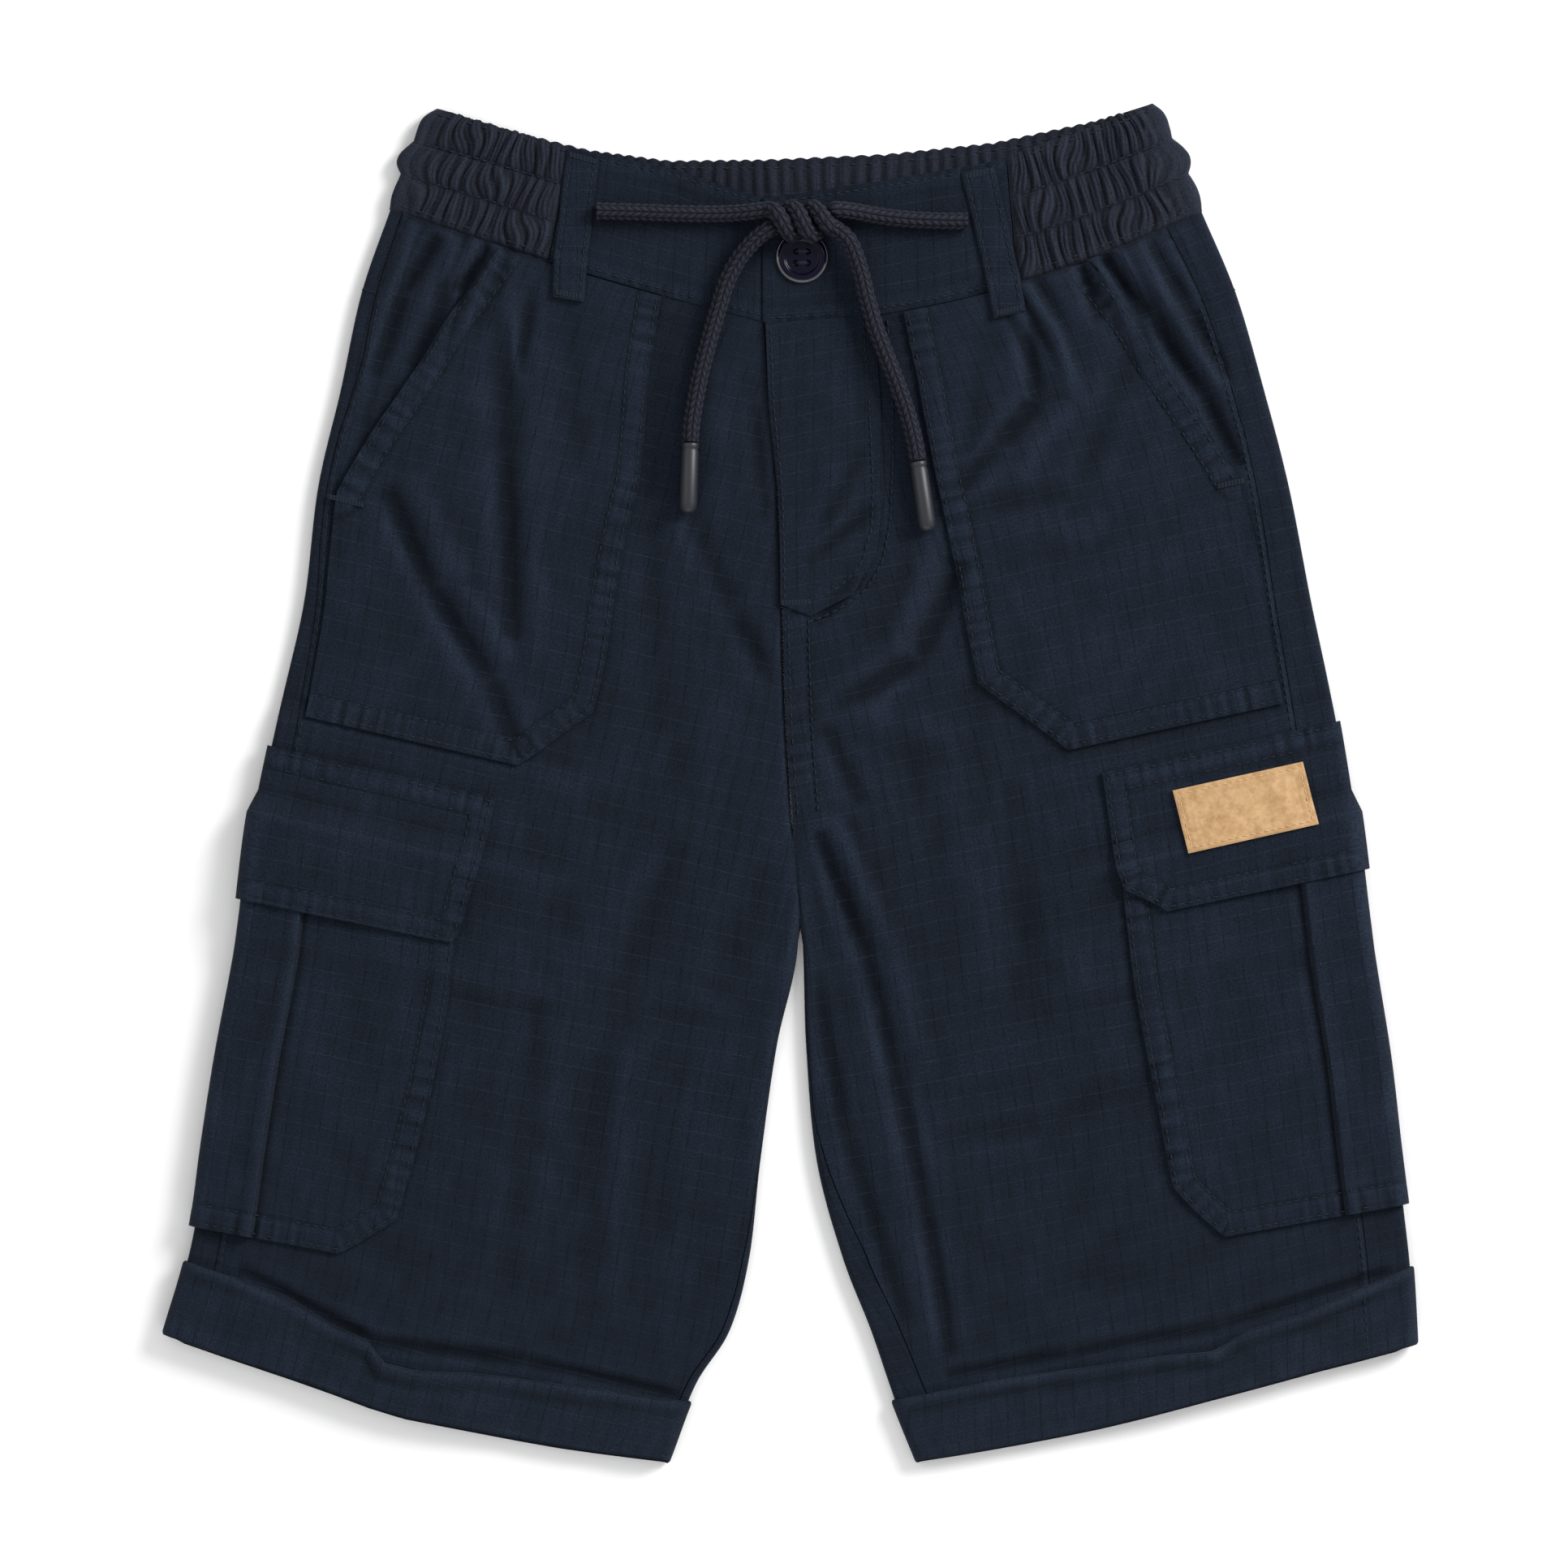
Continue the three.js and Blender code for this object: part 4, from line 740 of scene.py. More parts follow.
def pucker(along, amount=PUCKER):
    """Small uneven waves that the stitching draws up along a seam, against the length along it."""
    waves = np.sin(along * 1.13 + 2.6 * np.sin(along / 7.7))
    waves = waves + 0.5 * np.sin(along * 2.1 + 2.9 * np.sin(along / 5))
    return amount * waves * (0.75 + 0.45 * np.sin(along / 9.3 + 1.4 * np.sin(along / 23)))


LEG_END = 11.85
for side in ("right", "left"):
    stations = np.linspace(0, LEG_END, 310)[:, None]
    low, high = side_seam(side, stations) - 0.4, inner_seam(side, stations, -1)
    above = 1 - ease(*SEAM_CLOSES, stations)
    closing = above * 0.4
    way = low + (high + closing - low) * np.linspace(0, 1, 125)[None, :]
    if side == "left":
        on_seam = beside(np.maximum(high - way, 0), 5.8, 7.2) * above
        centre = on_seam * (SEAM_SWELL + pucker(stations * STATION_LENGTH, 0.14))
    else:
        centre = -0.6 * beside(high - way, -0.2, 0.5) * (closing > 0.01)
    side_swell = 0.25 * beside(way - low, 1.4, 2.8) * (1 + 2 * pucker(stations * STATION_LENGTH + 9))
    off = centre + side_swell - 0.7 * beside(way - low, 0.2, 0.9)
    piece, _ = leg_piece("front", side, stations, way, off, -CLOTH, navy, (0, 3))
    run = np.linspace(1.02, 10.9, 400)
    seam(leg_point(side, run, side_seam(side, run) + 1.2, 0.25))

# name, first and last station, rows, flat size and area in metres
BEHIND = (("back", 0.95, LEG_END, 240, (0.2, 0.37, 0.0530)), ("yoke", 0.0, 0.975, 24, (0.14, 0.03, 0.0029)))
for side in ("right", "left"):
    for name, first, last, rows, size in BEHIND:
        stations = np.linspace(first, last, rows)[:, None]
        flat = QUARTER + leg_width(side, stations) - 2 * EDGE
        far = inner_seam(side, stations, 1)
        start = side_seam(side, stations) - GAP
        strip = start + (QUARTER - start) * np.linspace(0, 1, 7)[None, :-1]
        fold = np.broadcast_to(np.linspace(QUARTER, -QUARTER, 15)[None, :-1], (rows, 14))
        rear = -QUARTER + (QUARTER - flat) * np.linspace(0, 1, 40)[None, :-1]
        turned = -flat + (flat - far) * np.linspace(0, 1, 25)[None, :]
        way = np.concatenate([strip, fold, rear, turned], 1)
        off = -0.02 + 0.22 * beside(last - stations, 0.01, 0.03) * (way > 0) if name == "yoke" else 0.0
        piece, _ = leg_piece(name, side, stations, way, off, -CLOTH, navy, (2, 1))

# Centre front: the felled seam from the fly to the crotch, laid to the wearer's left and sewn down there
# with two rows of stitches.
for inset, first in ((1.3, 2.7), (7.4, 3.1)):
    run = np.linspace(first, 4.95, 90)
    seam(leg_point("left", run, inner_seam("left", run, -1) - inset, 0.32))

# Fly overlap: a folded piece of the same cloth, only for show, sewn down over the centre seam with two rows
# in a J and a bar tack. Each row is its left and its right edge, x and y.
FLY = np.array([
    (-7.4, 136, 24.5, 138.6), (-6.5, 112, 26.6, 113), (-3.8, 86.5, 27.6, 87), (-3.2, 72, 25.4, 68),
    (-3.1, 62, 18.5, 56), (-3, 53, 6, 49.6),
])
FLY_TOP = 1.0
FLY_RELIEF = 0.6


def rows_at(table, at):
    """The rows of a table at places between them."""
    return np.stack([np.interp(at, np.arange(len(table)), column) for column in table.T], 1)


def across_rows(rows, count):
    """Plan grids, x and y, that run straight from each row's first point to its second."""
    share = np.linspace(0, 1, count)[None, :]
    return [rows[:, k:k + 1] + (rows[:, k + 2:k + 3] - rows[:, k:k + 1]) * share for k in (0, 1)]


x, y = across_rows(rows_at(FLY, np.linspace(0, len(FLY) - 1, 120)), 50)
sink = np.minimum(0.55, 0.9 * ease(0.55, 1.0, np.linspace(0, 1, 50)))
under = FLAT_TOP + GAP + FLY_RELIEF * relief(x, y)
outer = np.stack([x, y, under + FLY_TOP - sink], -1)
inner = np.stack([x, y, under - 0.1], -1)
piece = shell("fly-overlap", outer, inner, np.stack([x, y - 0.2 * x], -1), navy)


def on_fly(points, rise=0.0):
    """Plan points of a line on the fly, lifted to its face and by the rise."""
    xy = even(np.pad(np.array(points, float), ((0, 0), (0, 1))), 1.0)[:, :2]
    high = FLAT_TOP + GAP + FLY_TOP - 0.42 + FLY_RELIEF * relief(xy[:, 0], xy[:, 1]) + rise
    return np.stack([xy[:, 0], xy[:, 1], high], 1)


seam(on_fly([(-5.9, 135), (-5, 112), (-2.4, 86.5), (-1.8, 66), (-1.7, 54)], 0.42))
seam(on_fly([(21.4, 137.5), (23.3, 112), (24.5, 86.5), (23.9, 75), (20.9, 64.5), (15, 58.6), (8, 54.6),
             (-2.4, 53.2)]))
seam(on_fly([(28.6, 137.5), (30.2, 112), (30.2, 96), (29.6, 78), (27.4, 66), (22.6, 57.6), (15, 52),
             (8.5, 48.8), (4.5, 47.6)], -0.5))

# Patch pockets: unlined pockets sewn on the fronts with two rows; the slanted opening is turned in and
# double-stitched, with a bar tack at its lower end. Each row is a station, then the way round to both edges.
PATCH = {
    "right": np.array([
        (0.05, 34, 84), (0.7, 29.5, 87), (1.46, 22.5, 90), (2.2, 13.5, 92.5), (3, 6, 92.5), (3.7, 6, 91.5),
        (4.4, 7, 90.5), (4.9, 8, 77), (5.04, 8, 72.5),
    ]),
    "left": np.array([
        (0.05, 35, 91.5), (0.7, 31.5, 95.5), (1.4, 27.5, 98.5), (2.1, 20.5, 100.3), (2.8, 14.3, 101.5),
        (3.5, 13, 102), (4.1, 13.5, 101.5), (4.72, 14.5, 84), (4.88, 14.5, 79.5),
    ]),
}
OPENING_END = {"right": 3.0, "left": 2.8}
CORNER = {"right": 4.4, "left": 4.1}
AT_EDGE = QUARTER - EDGE
ROW_INSET = 1.3
ROW_APART = 6.8
PATCH_FACE = GAP + SOLID_WALL - 0.35


def from_line(points, line):
    """Distance of each grid point from a line in plan, and how far along the line that is, in millimetres."""
    flat = points[..., :2].reshape(-1, 1, 2)
    a, b = line[None, :-1, :2], line[None, 1:, :2]
    t = np.clip(((flat - a) * (b - a)).sum(-1) / ((b - a) ** 2).sum(-1), 0, 1)
    far = np.linalg.norm(flat - a - t[..., None] * (b - a), axis=-1)
    near = far.argmin(1)
    rows = np.arange(len(near))
    step = np.linalg.norm(b - a, axis=-1)[0]
    starts = np.concatenate([[0], np.cumsum(step)])
    along = starts[near] + t[rows, near] * step[near]
    return far[rows, near].reshape(points.shape[:2]), along.reshape(points.shape[:2])


def nearest_edge(points, edges):
    """The distance to the nearest of several edges, and the place along it."""
    found = [from_line(points, even(edge, 4.0)) for edge in edges]
    far = np.stack([f for f, _ in found])
    along = np.stack([a + 37 * k for k, (_, a) in enumerate(found)])
    best = far.argmin(0)[None]
    return np.take_along_axis(far, best, 0)[0], np.take_along_axis(along, best, 0)[0]


def sewn_band(sewn, along, band, swell, second_row, edge):
    """Relief of a turned, stitched edge: a swollen band, a groove at each row of stitches, a rounded rim."""
    grooves = 0.25 * bell(sewn - ROW_INSET, 0.8) + 0.3 * bell(sewn - second_row, 0.9)
    return beside(sewn, *band) * (swell + pucker(along)) - grooves - edge[0] * beside(sewn, 0, edge[1])


def fine_stations(table, count):
    """Stations down a piece: so many steps between each two rows of its table, and the last row's."""
    steps = [np.linspace(a, b, count, endpoint=False) for a, b in zip(table[:-1, 0], table[1:, 0])]
    return np.concatenate(steps + [table[-1:, 0]])


def inset_line(line, inset, inwards):
    """The line moved sideways by inset towards the side where the point inwards lies."""
    way = np.gradient(line[:, :2], axis=0)
    way /= np.linalg.norm(way, axis=1)[:, None]
    square = np.stack([-way[:, 1], way[:, 0]], 1)
    middle = len(line) // 2
    if (square[middle] @ (np.array(inwards) - line[middle, :2])) < 0:
        square = -square
    moved = line.copy()
    moved[:, :2] += square * inset
    return moved


def onto(points, grid):
    """Gives each point of a line the height of the nearest grid point of a piece's face."""
    flat = grid.reshape(-1, 3)
    near = ((points[:, None, :2] - flat[None, :, :2]) ** 2).sum(-1).argmin(1)
    lifted = points.copy()
    lifted[:, 2] = flat[near, 2]
    return lifted


def sewn_rows(edges, grid, insets):
    """Stitch rows beside each edge of a piece, cut short where the next edge's row begins."""
    middle = grid.reshape(-1, 3)[:, :2].mean(0)
    for edge in edges:
        for inset in insets:
            line = inset_line(even(edge, 1.0), inset, middle)
            others = [from_line(line[None], other)[0][0] for other in edges if other is not edge]
            keep = np.all([far >= inset - 0.4 for far in others], 0) if others else np.ones(len(line), bool)
            if keep.sum() > 3:
                seam(onto(line[keep], grid))


for side in ("right", "left"):
    table = PATCH[side]
    rows = fine_stations(table, 20)
    stations = rows[:, None]
    first, last = (np.interp(stations, table[:, 0], table[:, k]) + AT_EDGE for k in (1, 2))
    way = first + (last - first) * np.linspace(0, 1, 110)[None, :]
    plain = leg_point(side, stations, way, PATCH_FACE)
    edges = [plain[rows <= CORNER[side], -1], plain[rows >= CORNER[side], -1], plain[-1]]
    open_edge = plain[rows <= OPENING_END[side], 0]
    sewn, sewn_at = nearest_edge(plain, edges)
    opening, opening_at = from_line(plain, even(open_edge, 4.0))
    turned = beside(opening, 6.2, 7.6) * (0.4 + pucker(opening_at)) - 0.3 * bell(opening - ROW_APART, 0.9)
    gape = 0.5 * beside(opening, 0, 12) * np.sin(np.pi * np.clip(stations / OPENING_END[side], 0, 1))
    off = PATCH_FACE + sewn_band(sewn, sewn_at, (5.8, 7.8), 0.35, ROW_APART, (0.35, 0.9)) + turned + gape
    inner_off = np.minimum(off - 0.5, GAP + 0.1)
    piece, outer = leg_piece("patch-pocket", side, stations, way, off, inner_off, navy_pocket, (1.5, 2.4))
    sewn_rows(edges, outer, (ROW_INSET, ROW_APART))
    sewn_rows([open_edge], outer, (ROW_INSET, ROW_APART))

# Cargo pockets: bellows pockets across the side seam, sewn down with two rows. The outer part stands on a
# pleat whose fold faces inwards. Each row is a station, then the ways round to the inner and the rear edge.
PLEAT_AT = 17.6
PLEAT_STEP = 1.2
PLEAT_RISE = 1.2
PLEAT_END = PLEAT_AT + PLEAT_STEP
CARGO = {
    "right": np.array([
        (6.02, 63, 46), (6.5, 63, 46), (6.9, 63.2, 46), (7.1, 63.4, 46), (7.9, 63.5, 46), (8.7, 61.5, 46),
        (9.46, 59, 46), (9.85, 51, 38), (10.2, 43.5, 30),
    ]),
    "left": np.array([
        (6.02, 70.5, 46), (6.5, 70.3, 46), (6.9, 70.2, 46), (7.1, 70.1, 46), (7.7, 69.6, 46), (8.3, 68.6, 46),
        (8.96, 67.3, 46), (9.4, 60.5, 38), (9.8, 54, 30),
    ]),
}
CARGO_CORNER = {"right": 9.46, "left": 8.96}
CARGO_DROP = {"right": 0.12, "left": 0.14}


CARGO_HIGH = {"right": (6.7, 10.22), "left": (6.5, 9.86)}
FROM_FOLD = 23


def pleat_rise(p):
    """The step of the pleat: full on the outer part, fading to nothing round the outer fold."""
    at_the_fold = np.clip((p + QUARTER) / (2 * QUARTER), 0, 1)
    return PLEAT_RISE * np.clip((PLEAT_END - p) / PLEAT_STEP, 0, 1) * at_the_fold


def wrap_way(rear, inner):
    """Ways round from the rear, round the outer fold, to the inner edge: a row per station."""
    rear, inner = rear[:, None], inner[:, None] + AT_EDGE
    ones = np.ones_like(rear)
    back = -rear + (rear - QUARTER) * np.linspace(0, 1, 10)[None, :-1]
    fold = ones * np.linspace(-QUARTER, QUARTER, 15)[None, :-1]
    outer_part = ones * np.linspace(QUARTER, PLEAT_AT, 24)[None, :-1]
    step = ones * np.linspace(PLEAT_AT, PLEAT_END, 5)[None, :-1]
    face = PLEAT_END + (inner - PLEAT_END) * np.linspace(0, 1, 60)[None, :]
    return np.concatenate([back, fold, outer_part, step, face], 1)


for side in ("right", "left"):
    table = CARGO[side]
    stations = fine_stations(table, 16)
    inner_at, rear_at = (np.interp(stations, table[:, 0], table[:, k]) for k in (1, 2))
    way = wrap_way(rear_at, inner_at)
    outer_share = 1 - np.clip(way / (inner_at[:, None] + 1), 0, 1)
    drop = CARGO_DROP[side] * ease(9, 10, stations)[:, None] * outer_share
    down = stations[:, None] + drop
    rise = pleat_rise(way)
    base = GAP + SOLID_WALL - 0.3 + rise
    plain = leg_point(side, down, way, base)
    corner = CARGO_CORNER[side]
    edges = [plain[stations <= corner, -1], plain[stations >= corner, -1], plain[-1, FROM_FOLD:]]
    sewn, sewn_at = nearest_edge(plain, edges)
    sewn = np.where(way > -QUARTER, sewn, 20)
    lip = 0.6 * bell(way - PLEAT_AT + 1.4, 2.4) * (way < PLEAT_AT + 0.2)
    lip = lip - 0.5 * bell(way - PLEAT_END, 1.6) * (way >= PLEAT_END)
    off = base + ease(0, 3, way) * (sewn_band(sewn, sewn_at, (5.4, 7.4), 0.3, ROW_APART, (0.3, 0.8)) + lip)
    inner_off = np.minimum(off - 0.5, GAP + 0.1 + rise)
    piece, outer = leg_piece("cargo-pocket", side, down, way, off, inner_off, navy_pocket, (3, 1.8))
    sewn_rows(edges, outer, (ROW_INSET, ROW_APART))
    seam(leg_point(side, np.linspace(*CARGO_HIGH[side], 120), PLEAT_AT - 1.3, base[0, 30] + 0.35))

# Flaps: two layers turned and double-stitched, sewn down along the top and lying over pocket and pleat. Each
# row is a station, then the way round to the inner edge and to the rear one.
FLAP = {
    "right": np.array([(5.36, 68.3, 50), (5.75, 68, 50), (5.95, 67.5, 50), (6.3, 65.5, 50), (6.56, 64, 50),
                       (6.66, 62, 47)]),
    "left": np.array([(5.14, 71, 50), (5.75, 71.5, 50), (5.95, 71.5, 50), (6.16, 70, 50), (6.3, 63, 50),
                      (6.42, 58, 47)]),
}
FLAP_CORNER = 6.16
FLAP_ROW = 6.2
# between these stations a flap climbs from the leg on to its pocket
CLIMB = (5.75, 5.95)


def flap_off(station, p):
    """Inner face of a flap: on the leg above the pocket, then over it, sloping down from its pleat."""
    over = np.clip((station - CLIMB[0]) / 0.2, 0, 1)
    return GAP + over * (ON_PANEL + PLEAT_RISE * 0.5 * (1 - ease(PLEAT_AT, PLEAT_AT + 22, p)))


for side in ("right", "left"):
    table = FLAP[side]
    stations = fine_stations(table, 10)
    inner_at, rear_at = (np.interp(stations, table[:, 0], table[:, k]) for k in (1, 2))
    way = wrap_way(rear_at, inner_at)
    down = stations[:, None]
    base = flap_off(down, way) + SOLID_WALL - 0.25
    plain = leg_point(side, down, way, base)
    edges = [plain[0, FROM_FOLD + 1:], plain[:, -1], plain[-1, FROM_FOLD + 1:]]
    if side == "left":
        low_edge = np.concatenate([plain[stations >= FLAP_CORNER, -1], plain[-1, -2:FROM_FOLD:-1]])
        edges = [edges[0], plain[stations <= FLAP_CORNER, -1], low_edge]
    sewn, sewn_at = nearest_edge(plain, edges)
    curl = 0.35 * ease(6.2, 6.66, down) * np.sin(way / 13.0)
    off = base + ease(0, 3, way) * (sewn_band(sewn, sewn_at, (5.2, 7), 0.3, FLAP_ROW, (0.3, 0.8)) + curl)
    inner_off = np.minimum(off - 0.6, flap_off(down, way) + 0.1)
    piece, outer = leg_piece("cargo-flap", side, down, way, off, inner_off, navy_pocket, (0.6, 4.1))
    sewn_rows(edges, outer, (ROW_INSET, FLAP_ROW))

# Label: a tan leather-like patch with cut edges and a pressed border, left bare, sewn on the wearer's left
# flap with tan thread.
LABEL_TOP, LABEL_BOTTOM, LABEL_NEAR, LABEL_FAR, LABEL_LEAN = 5.42, 5.97, 12.0, 51.4, 1.6
LABEL_LONG, LABEL_HIGH = LABEL_FAR - LABEL_NEAR, 18.7
LABEL_SHEET = 0.9
LABEL_INSET = 1.4
tan, tree, shader = new_material("tan leather-like sheet", roughness=0.62, specular_ior_level=0.3)
grain = noise(tree, place_in(tree), 420.0, 4.0, 0.65)
cloud = noise(tree, place_in(tree), 90.0, 2.0)
tint = math_node(tree, "ADD", math_node(tree, "MULTIPLY", grain, 0.6),
                 math_node(tree, "MULTIPLY", cloud, 0.4))
tree.links.new(mix(tree, spread(tree, tint, 0.38, 0.62), (0.34, 0.195, 0.085, 1), (0.52, 0.33, 0.165, 1)),
               shader.inputs["Base Color"])
add_bump(tree, shader, grain, 0.4, 0.0003)
stations = np.concatenate([np.linspace(LABEL_TOP, CLIMB[0], 22, endpoint=False),
                           np.linspace(*CLIMB, 14, endpoint=False),
                           np.linspace(CLIMB[1], LABEL_BOTTOM, 3)])[:, None]
share = np.linspace(0, 1, 90)[None, :]
down_share = (stations - LABEL_TOP) / (LABEL_BOTTOM - LABEL_TOP)
way = LABEL_NEAR + LABEL_LONG * share + AT_EDGE - LABEL_LEAN * down_share
rim = np.minimum(np.minimum(share, 1 - share) * LABEL_LONG,
                 np.minimum(down_share, 1 - down_share) * LABEL_HIGH)
face = LABEL_SHEET - 0.1 - 0.25 * beside(rim, 0, 0.7)
face = face - 0.16 * bell(rim - LABEL_INSET, 0.5) - 0.14 * bell(rim - 3.6, 0.3)
base = flap_off(stations, way) + ON_PANEL
outer = leg_point("left", stations, way, base + face)
inner = leg_point("left", stations, way, base - 0.1)
piece = shell("label-patch", outer, inner, leg_uv(stations, way), tan)
label_rows = []
for edge in (outer[0], outer[-1], outer[:, 0], outer[:, -1]):
    line = inset_line(even(edge, 0.5), LABEL_INSET, outer.reshape(-1, 3)[:, :2].mean(0))
    label_rows.append(onto(line[3:-3], outer))

# Turn-ups: the leg's end turned up once and tacked at the seams, kinked where the turn-up sags. Each row is
# the share of the way across, then the stations of the top and the bottom edge.
CUFF = {
    "right": np.array([
        (0, 10.98, 12.06), (0.2, 11.12, 12.08), (0.3, 11.34, 12.1), (0.38, 11.42, 12.14),
        (0.41, 11.62, 12.16), (0.48, 11.62, 12.18), (0.6, 11.48, 12.14), (0.8, 11.36, 12.1),
        (1, 11.24, 12.03),
    ]),
    "left": np.array([
        (0, 10.94, 12.06), (0.2, 11.2, 12.0), (0.33, 11.24, 12.0), (0.39, 11.4, 12.0), (0.5, 11.28, 12.02),
        (0.62, 11.2, 12.04), (0.8, 11.06, 12.04), (0.9, 11.02, 12.04), (1, 10.98, 12.04),
    ]),
}
HEM = 12
TURNED_ROUND = 0.94
# where the turn-up stands off: share of the way across, width, height
CUFF_KINKS = {
    "right": ((0.36, 0.03, 0.9), (0.43, 0.04, 1.3), (0.55, 0.07, 0.8), (0.8, 0.1, 0.4)),
    "left": ((0.1, 0.03, 0.9), (0.2, 0.06, 0.7), (0.4, 0.03, 1.1), (0.47, 0.05, 0.9), (0.75, 0.1, 0.6)),
}
# the lowest that the outer and the inner face may lie
FACE_FLOOR = (-0.12, 0.2)
for side in ("right", "left"):
    wide = float(leg_width(side, HEM))
    flat = wide - 2 * EDGE
    around = np.concatenate([
        QUARTER + flat + QUARTER * np.linspace(TURNED_ROUND, 0, 8, endpoint=False),
        QUARTER + flat * np.linspace(1, 0, 120, endpoint=False),
        QUARTER * np.linspace(1, -1, 13),
        -QUARTER - flat * np.linspace(0, 1, 40)[1:],
        -(QUARTER + flat + QUARTER * np.linspace(0, TURNED_ROUND, 8)[1:]),
    ])[None, :]
    across = np.clip(section(wide, around, 0.0, 0.0)[0] / wide, 0, 1)
    top = np.interp(across, CUFF[side][:, 0], CUFF[side][:, 1])
    bottom = np.interp(across, CUFF[side][:, 0], CUFF[side][:, 2]) + (around < -QUARTER - 1e-6) * 0.04
    t = np.linspace(0, 1, 44)[:, None]
    stations = top + (bottom - top) * t
    width_here = leg_width(side, stations)
    reach = np.abs(around)
    along_flat = np.clip((reach - QUARTER) / flat, 0, 1) * (width_here - 2 * EDGE)
    round_end = QUARTER + along_flat + np.maximum(reach - QUARTER - flat, 0)
    way = np.where(reach <= QUARTER, around, np.sign(around) * round_end)
    length = (bottom - top) * STATION_LENGTH * t
    roll = np.minimum(length, (bottom - top) * STATION_LENGTH - length)
    on_top = ease(0, 4, around) * ease(0, 4, width_here - 2 + QUARTER - way)
    waves = 0.22 * np.sin(way / 5.7 + 2.0 * np.sin(way / 19)) * np.sin(math.pi * t)
    waves = waves + 0.12 * np.sin(way / 13 + 3 * t)
    kinks = sum(tall * bell(across - at, breadth) for at, breadth, tall in CUFF_KINKS[side])
    stand = beside(length, 0.4, 7) * (1.1 + 1.15 * kinks) + 0.5 * kinks * np.sin(math.pi * t) ** 2
    off = GAP + SOLID_WALL - 0.3 + on_top * (waves + stand) - 0.45 * beside(roll, 0, 1.1)
    outer = leg_point(side, stations, way, off)
    inner = leg_point(side, stations, way, np.minimum(off - 0.4, GAP + 0.1))
    for face, lowest in zip((outer, inner), FACE_FLOOR):
        face[..., 2] = np.maximum(face[..., 2], lowest)
    piece = shell("turn-up-" + side, outer, inner, leg_uv(stations, way, (2.1, 0.9)), navy_turned,
                  "cuff_" + side)
    at_seam = np.argmin(np.abs(around[0] - AT_EDGE - SEAMS[side][-1, 1]))
    seam(outer[1:-3, at_seam])

# Waistband: a flat front in two halves, elasticated sides and back gathered by rows of stitches, sewn to the
# legs' first row. Each row is the way from the centre front, then the upper edge of the front and of the
# back, x and y.
BAND_TOP = np.array([
    (-116, -107, 200, -107, 200), (-90, -86, 194.3, -86, 194), (-62, -61, 187, -60, 187.5),
    (-32, -36, 182.2, -36, 184.3), (0, -8, 173, -8, 184.6), (36, 27, 178.3, 28, 186.2),
    (70, 58, 183.6, 60, 189.6), (103, 86, 193, 88, 195.6), (134, 110.5, 201.6, 110.5, 201.6),
])
RIGHT_WIDTH = float(leg_width("right", 0))
LEFT_WIDTH = float(leg_width("left", 0))
BAND_WIDTH = RIGHT_WIDTH + LEFT_WIDTH
BAND_FLAT = BAND_WIDTH - 2 * EDGE
BAND_FOOT = -0.018
# how far the side edge stands out: height share, wearer's right, wearer's left
BAND_BULGE = np.array([
    (0, 0.3, 0.3), (0.17, 1.2, 1.2), (0.34, 1.1, 0.3), (0.5, 3.9, 2.6), (0.67, 1.2, -0.6), (0.84, 1.5, 0),
    (1, 0, -0.9),
])
BULGE_REACH = 24
CENTRE_WAY = AT_EDGE + RIGHT_WIDTH


def lobes(h, column):
    """The side edge's swelling at a height share: round at each crest, sharp at each stitched row."""
    rows = BAND_BULGE
    i = np.clip(np.searchsorted(rows[:, 0], h) - 1, 0, len(rows) - 2)
    t = np.clip((h - rows[i, 0]) / (rows[i + 1, 0] - rows[i, 0]), 0, 1) * math.pi / 2
    a, b = rows[i, column], rows[i + 1, column]
    return a + (b - a) * np.where(b > a, np.sin(t), 1 - np.cos(t))


def band_point(p, h, off):
    """Point of the band: way round from its left-hand fold, height share, distance off the solid's
    outer face."""
    p, h, off = np.broadcast_arrays(np.asarray(p, float), h, off)
    a, z = section(np.full(p.shape, BAND_WIDTH), p, off, 0.0)
    way = a - RIGHT_WIDTH
    zero = np.zeros(p.shape)
    right, _ = plan_of(leg_rows("right", zero), np.where(way < 0, a, 0))
    left, _ = plan_of(leg_rows("left", zero), np.where(way < 0, 0, BAND_WIDTH - a))
    foot = np.where((way < 0)[..., None], right, left)
    over = np.maximum(0, -a) - np.maximum(0, a - BAND_WIDTH)
    beneath = z < EDGE
    top = [np.where(beneath, np.interp(way, BAND_TOP[:, 0], BAND_TOP[:, 3 + k]),
                    np.interp(way, BAND_TOP[:, 0], BAND_TOP[:, 1 + k])) for k in (0, 1)]
    corner = 2.2 * ease(0.86, 1.04, h) ** 2
    bulge = np.maximum(0, 1 - (BAND_WIDTH - a) / BULGE_REACH) * (lobes(h, 2) - corner)
    bulge = bulge - np.maximum(0, 1 - a / BULGE_REACH) * (lobes(h, 1) - corner)
    x = foot[..., 0] + (top[0] - over - foot[..., 0]) * h + bulge
    y = foot[..., 1] + (top[1] - foot[..., 1]) * h
    return np.stack([x, y, z], -1)


def band_grids(way, h, off, inward, scallop=0.0):
    """The band's outer and inner face, their upper edge scalloped."""
    outer, inner = band_point(way, h, off), band_point(way, h, inward)
    for face in (outer, inner):
        face[..., 1] += scallop
    return outer, inner


def band_uv(way, h):
    """UV of the band in millimetres."""
    return np.stack(np.broadcast_arrays(way, h * BAND_HIGH), -1)


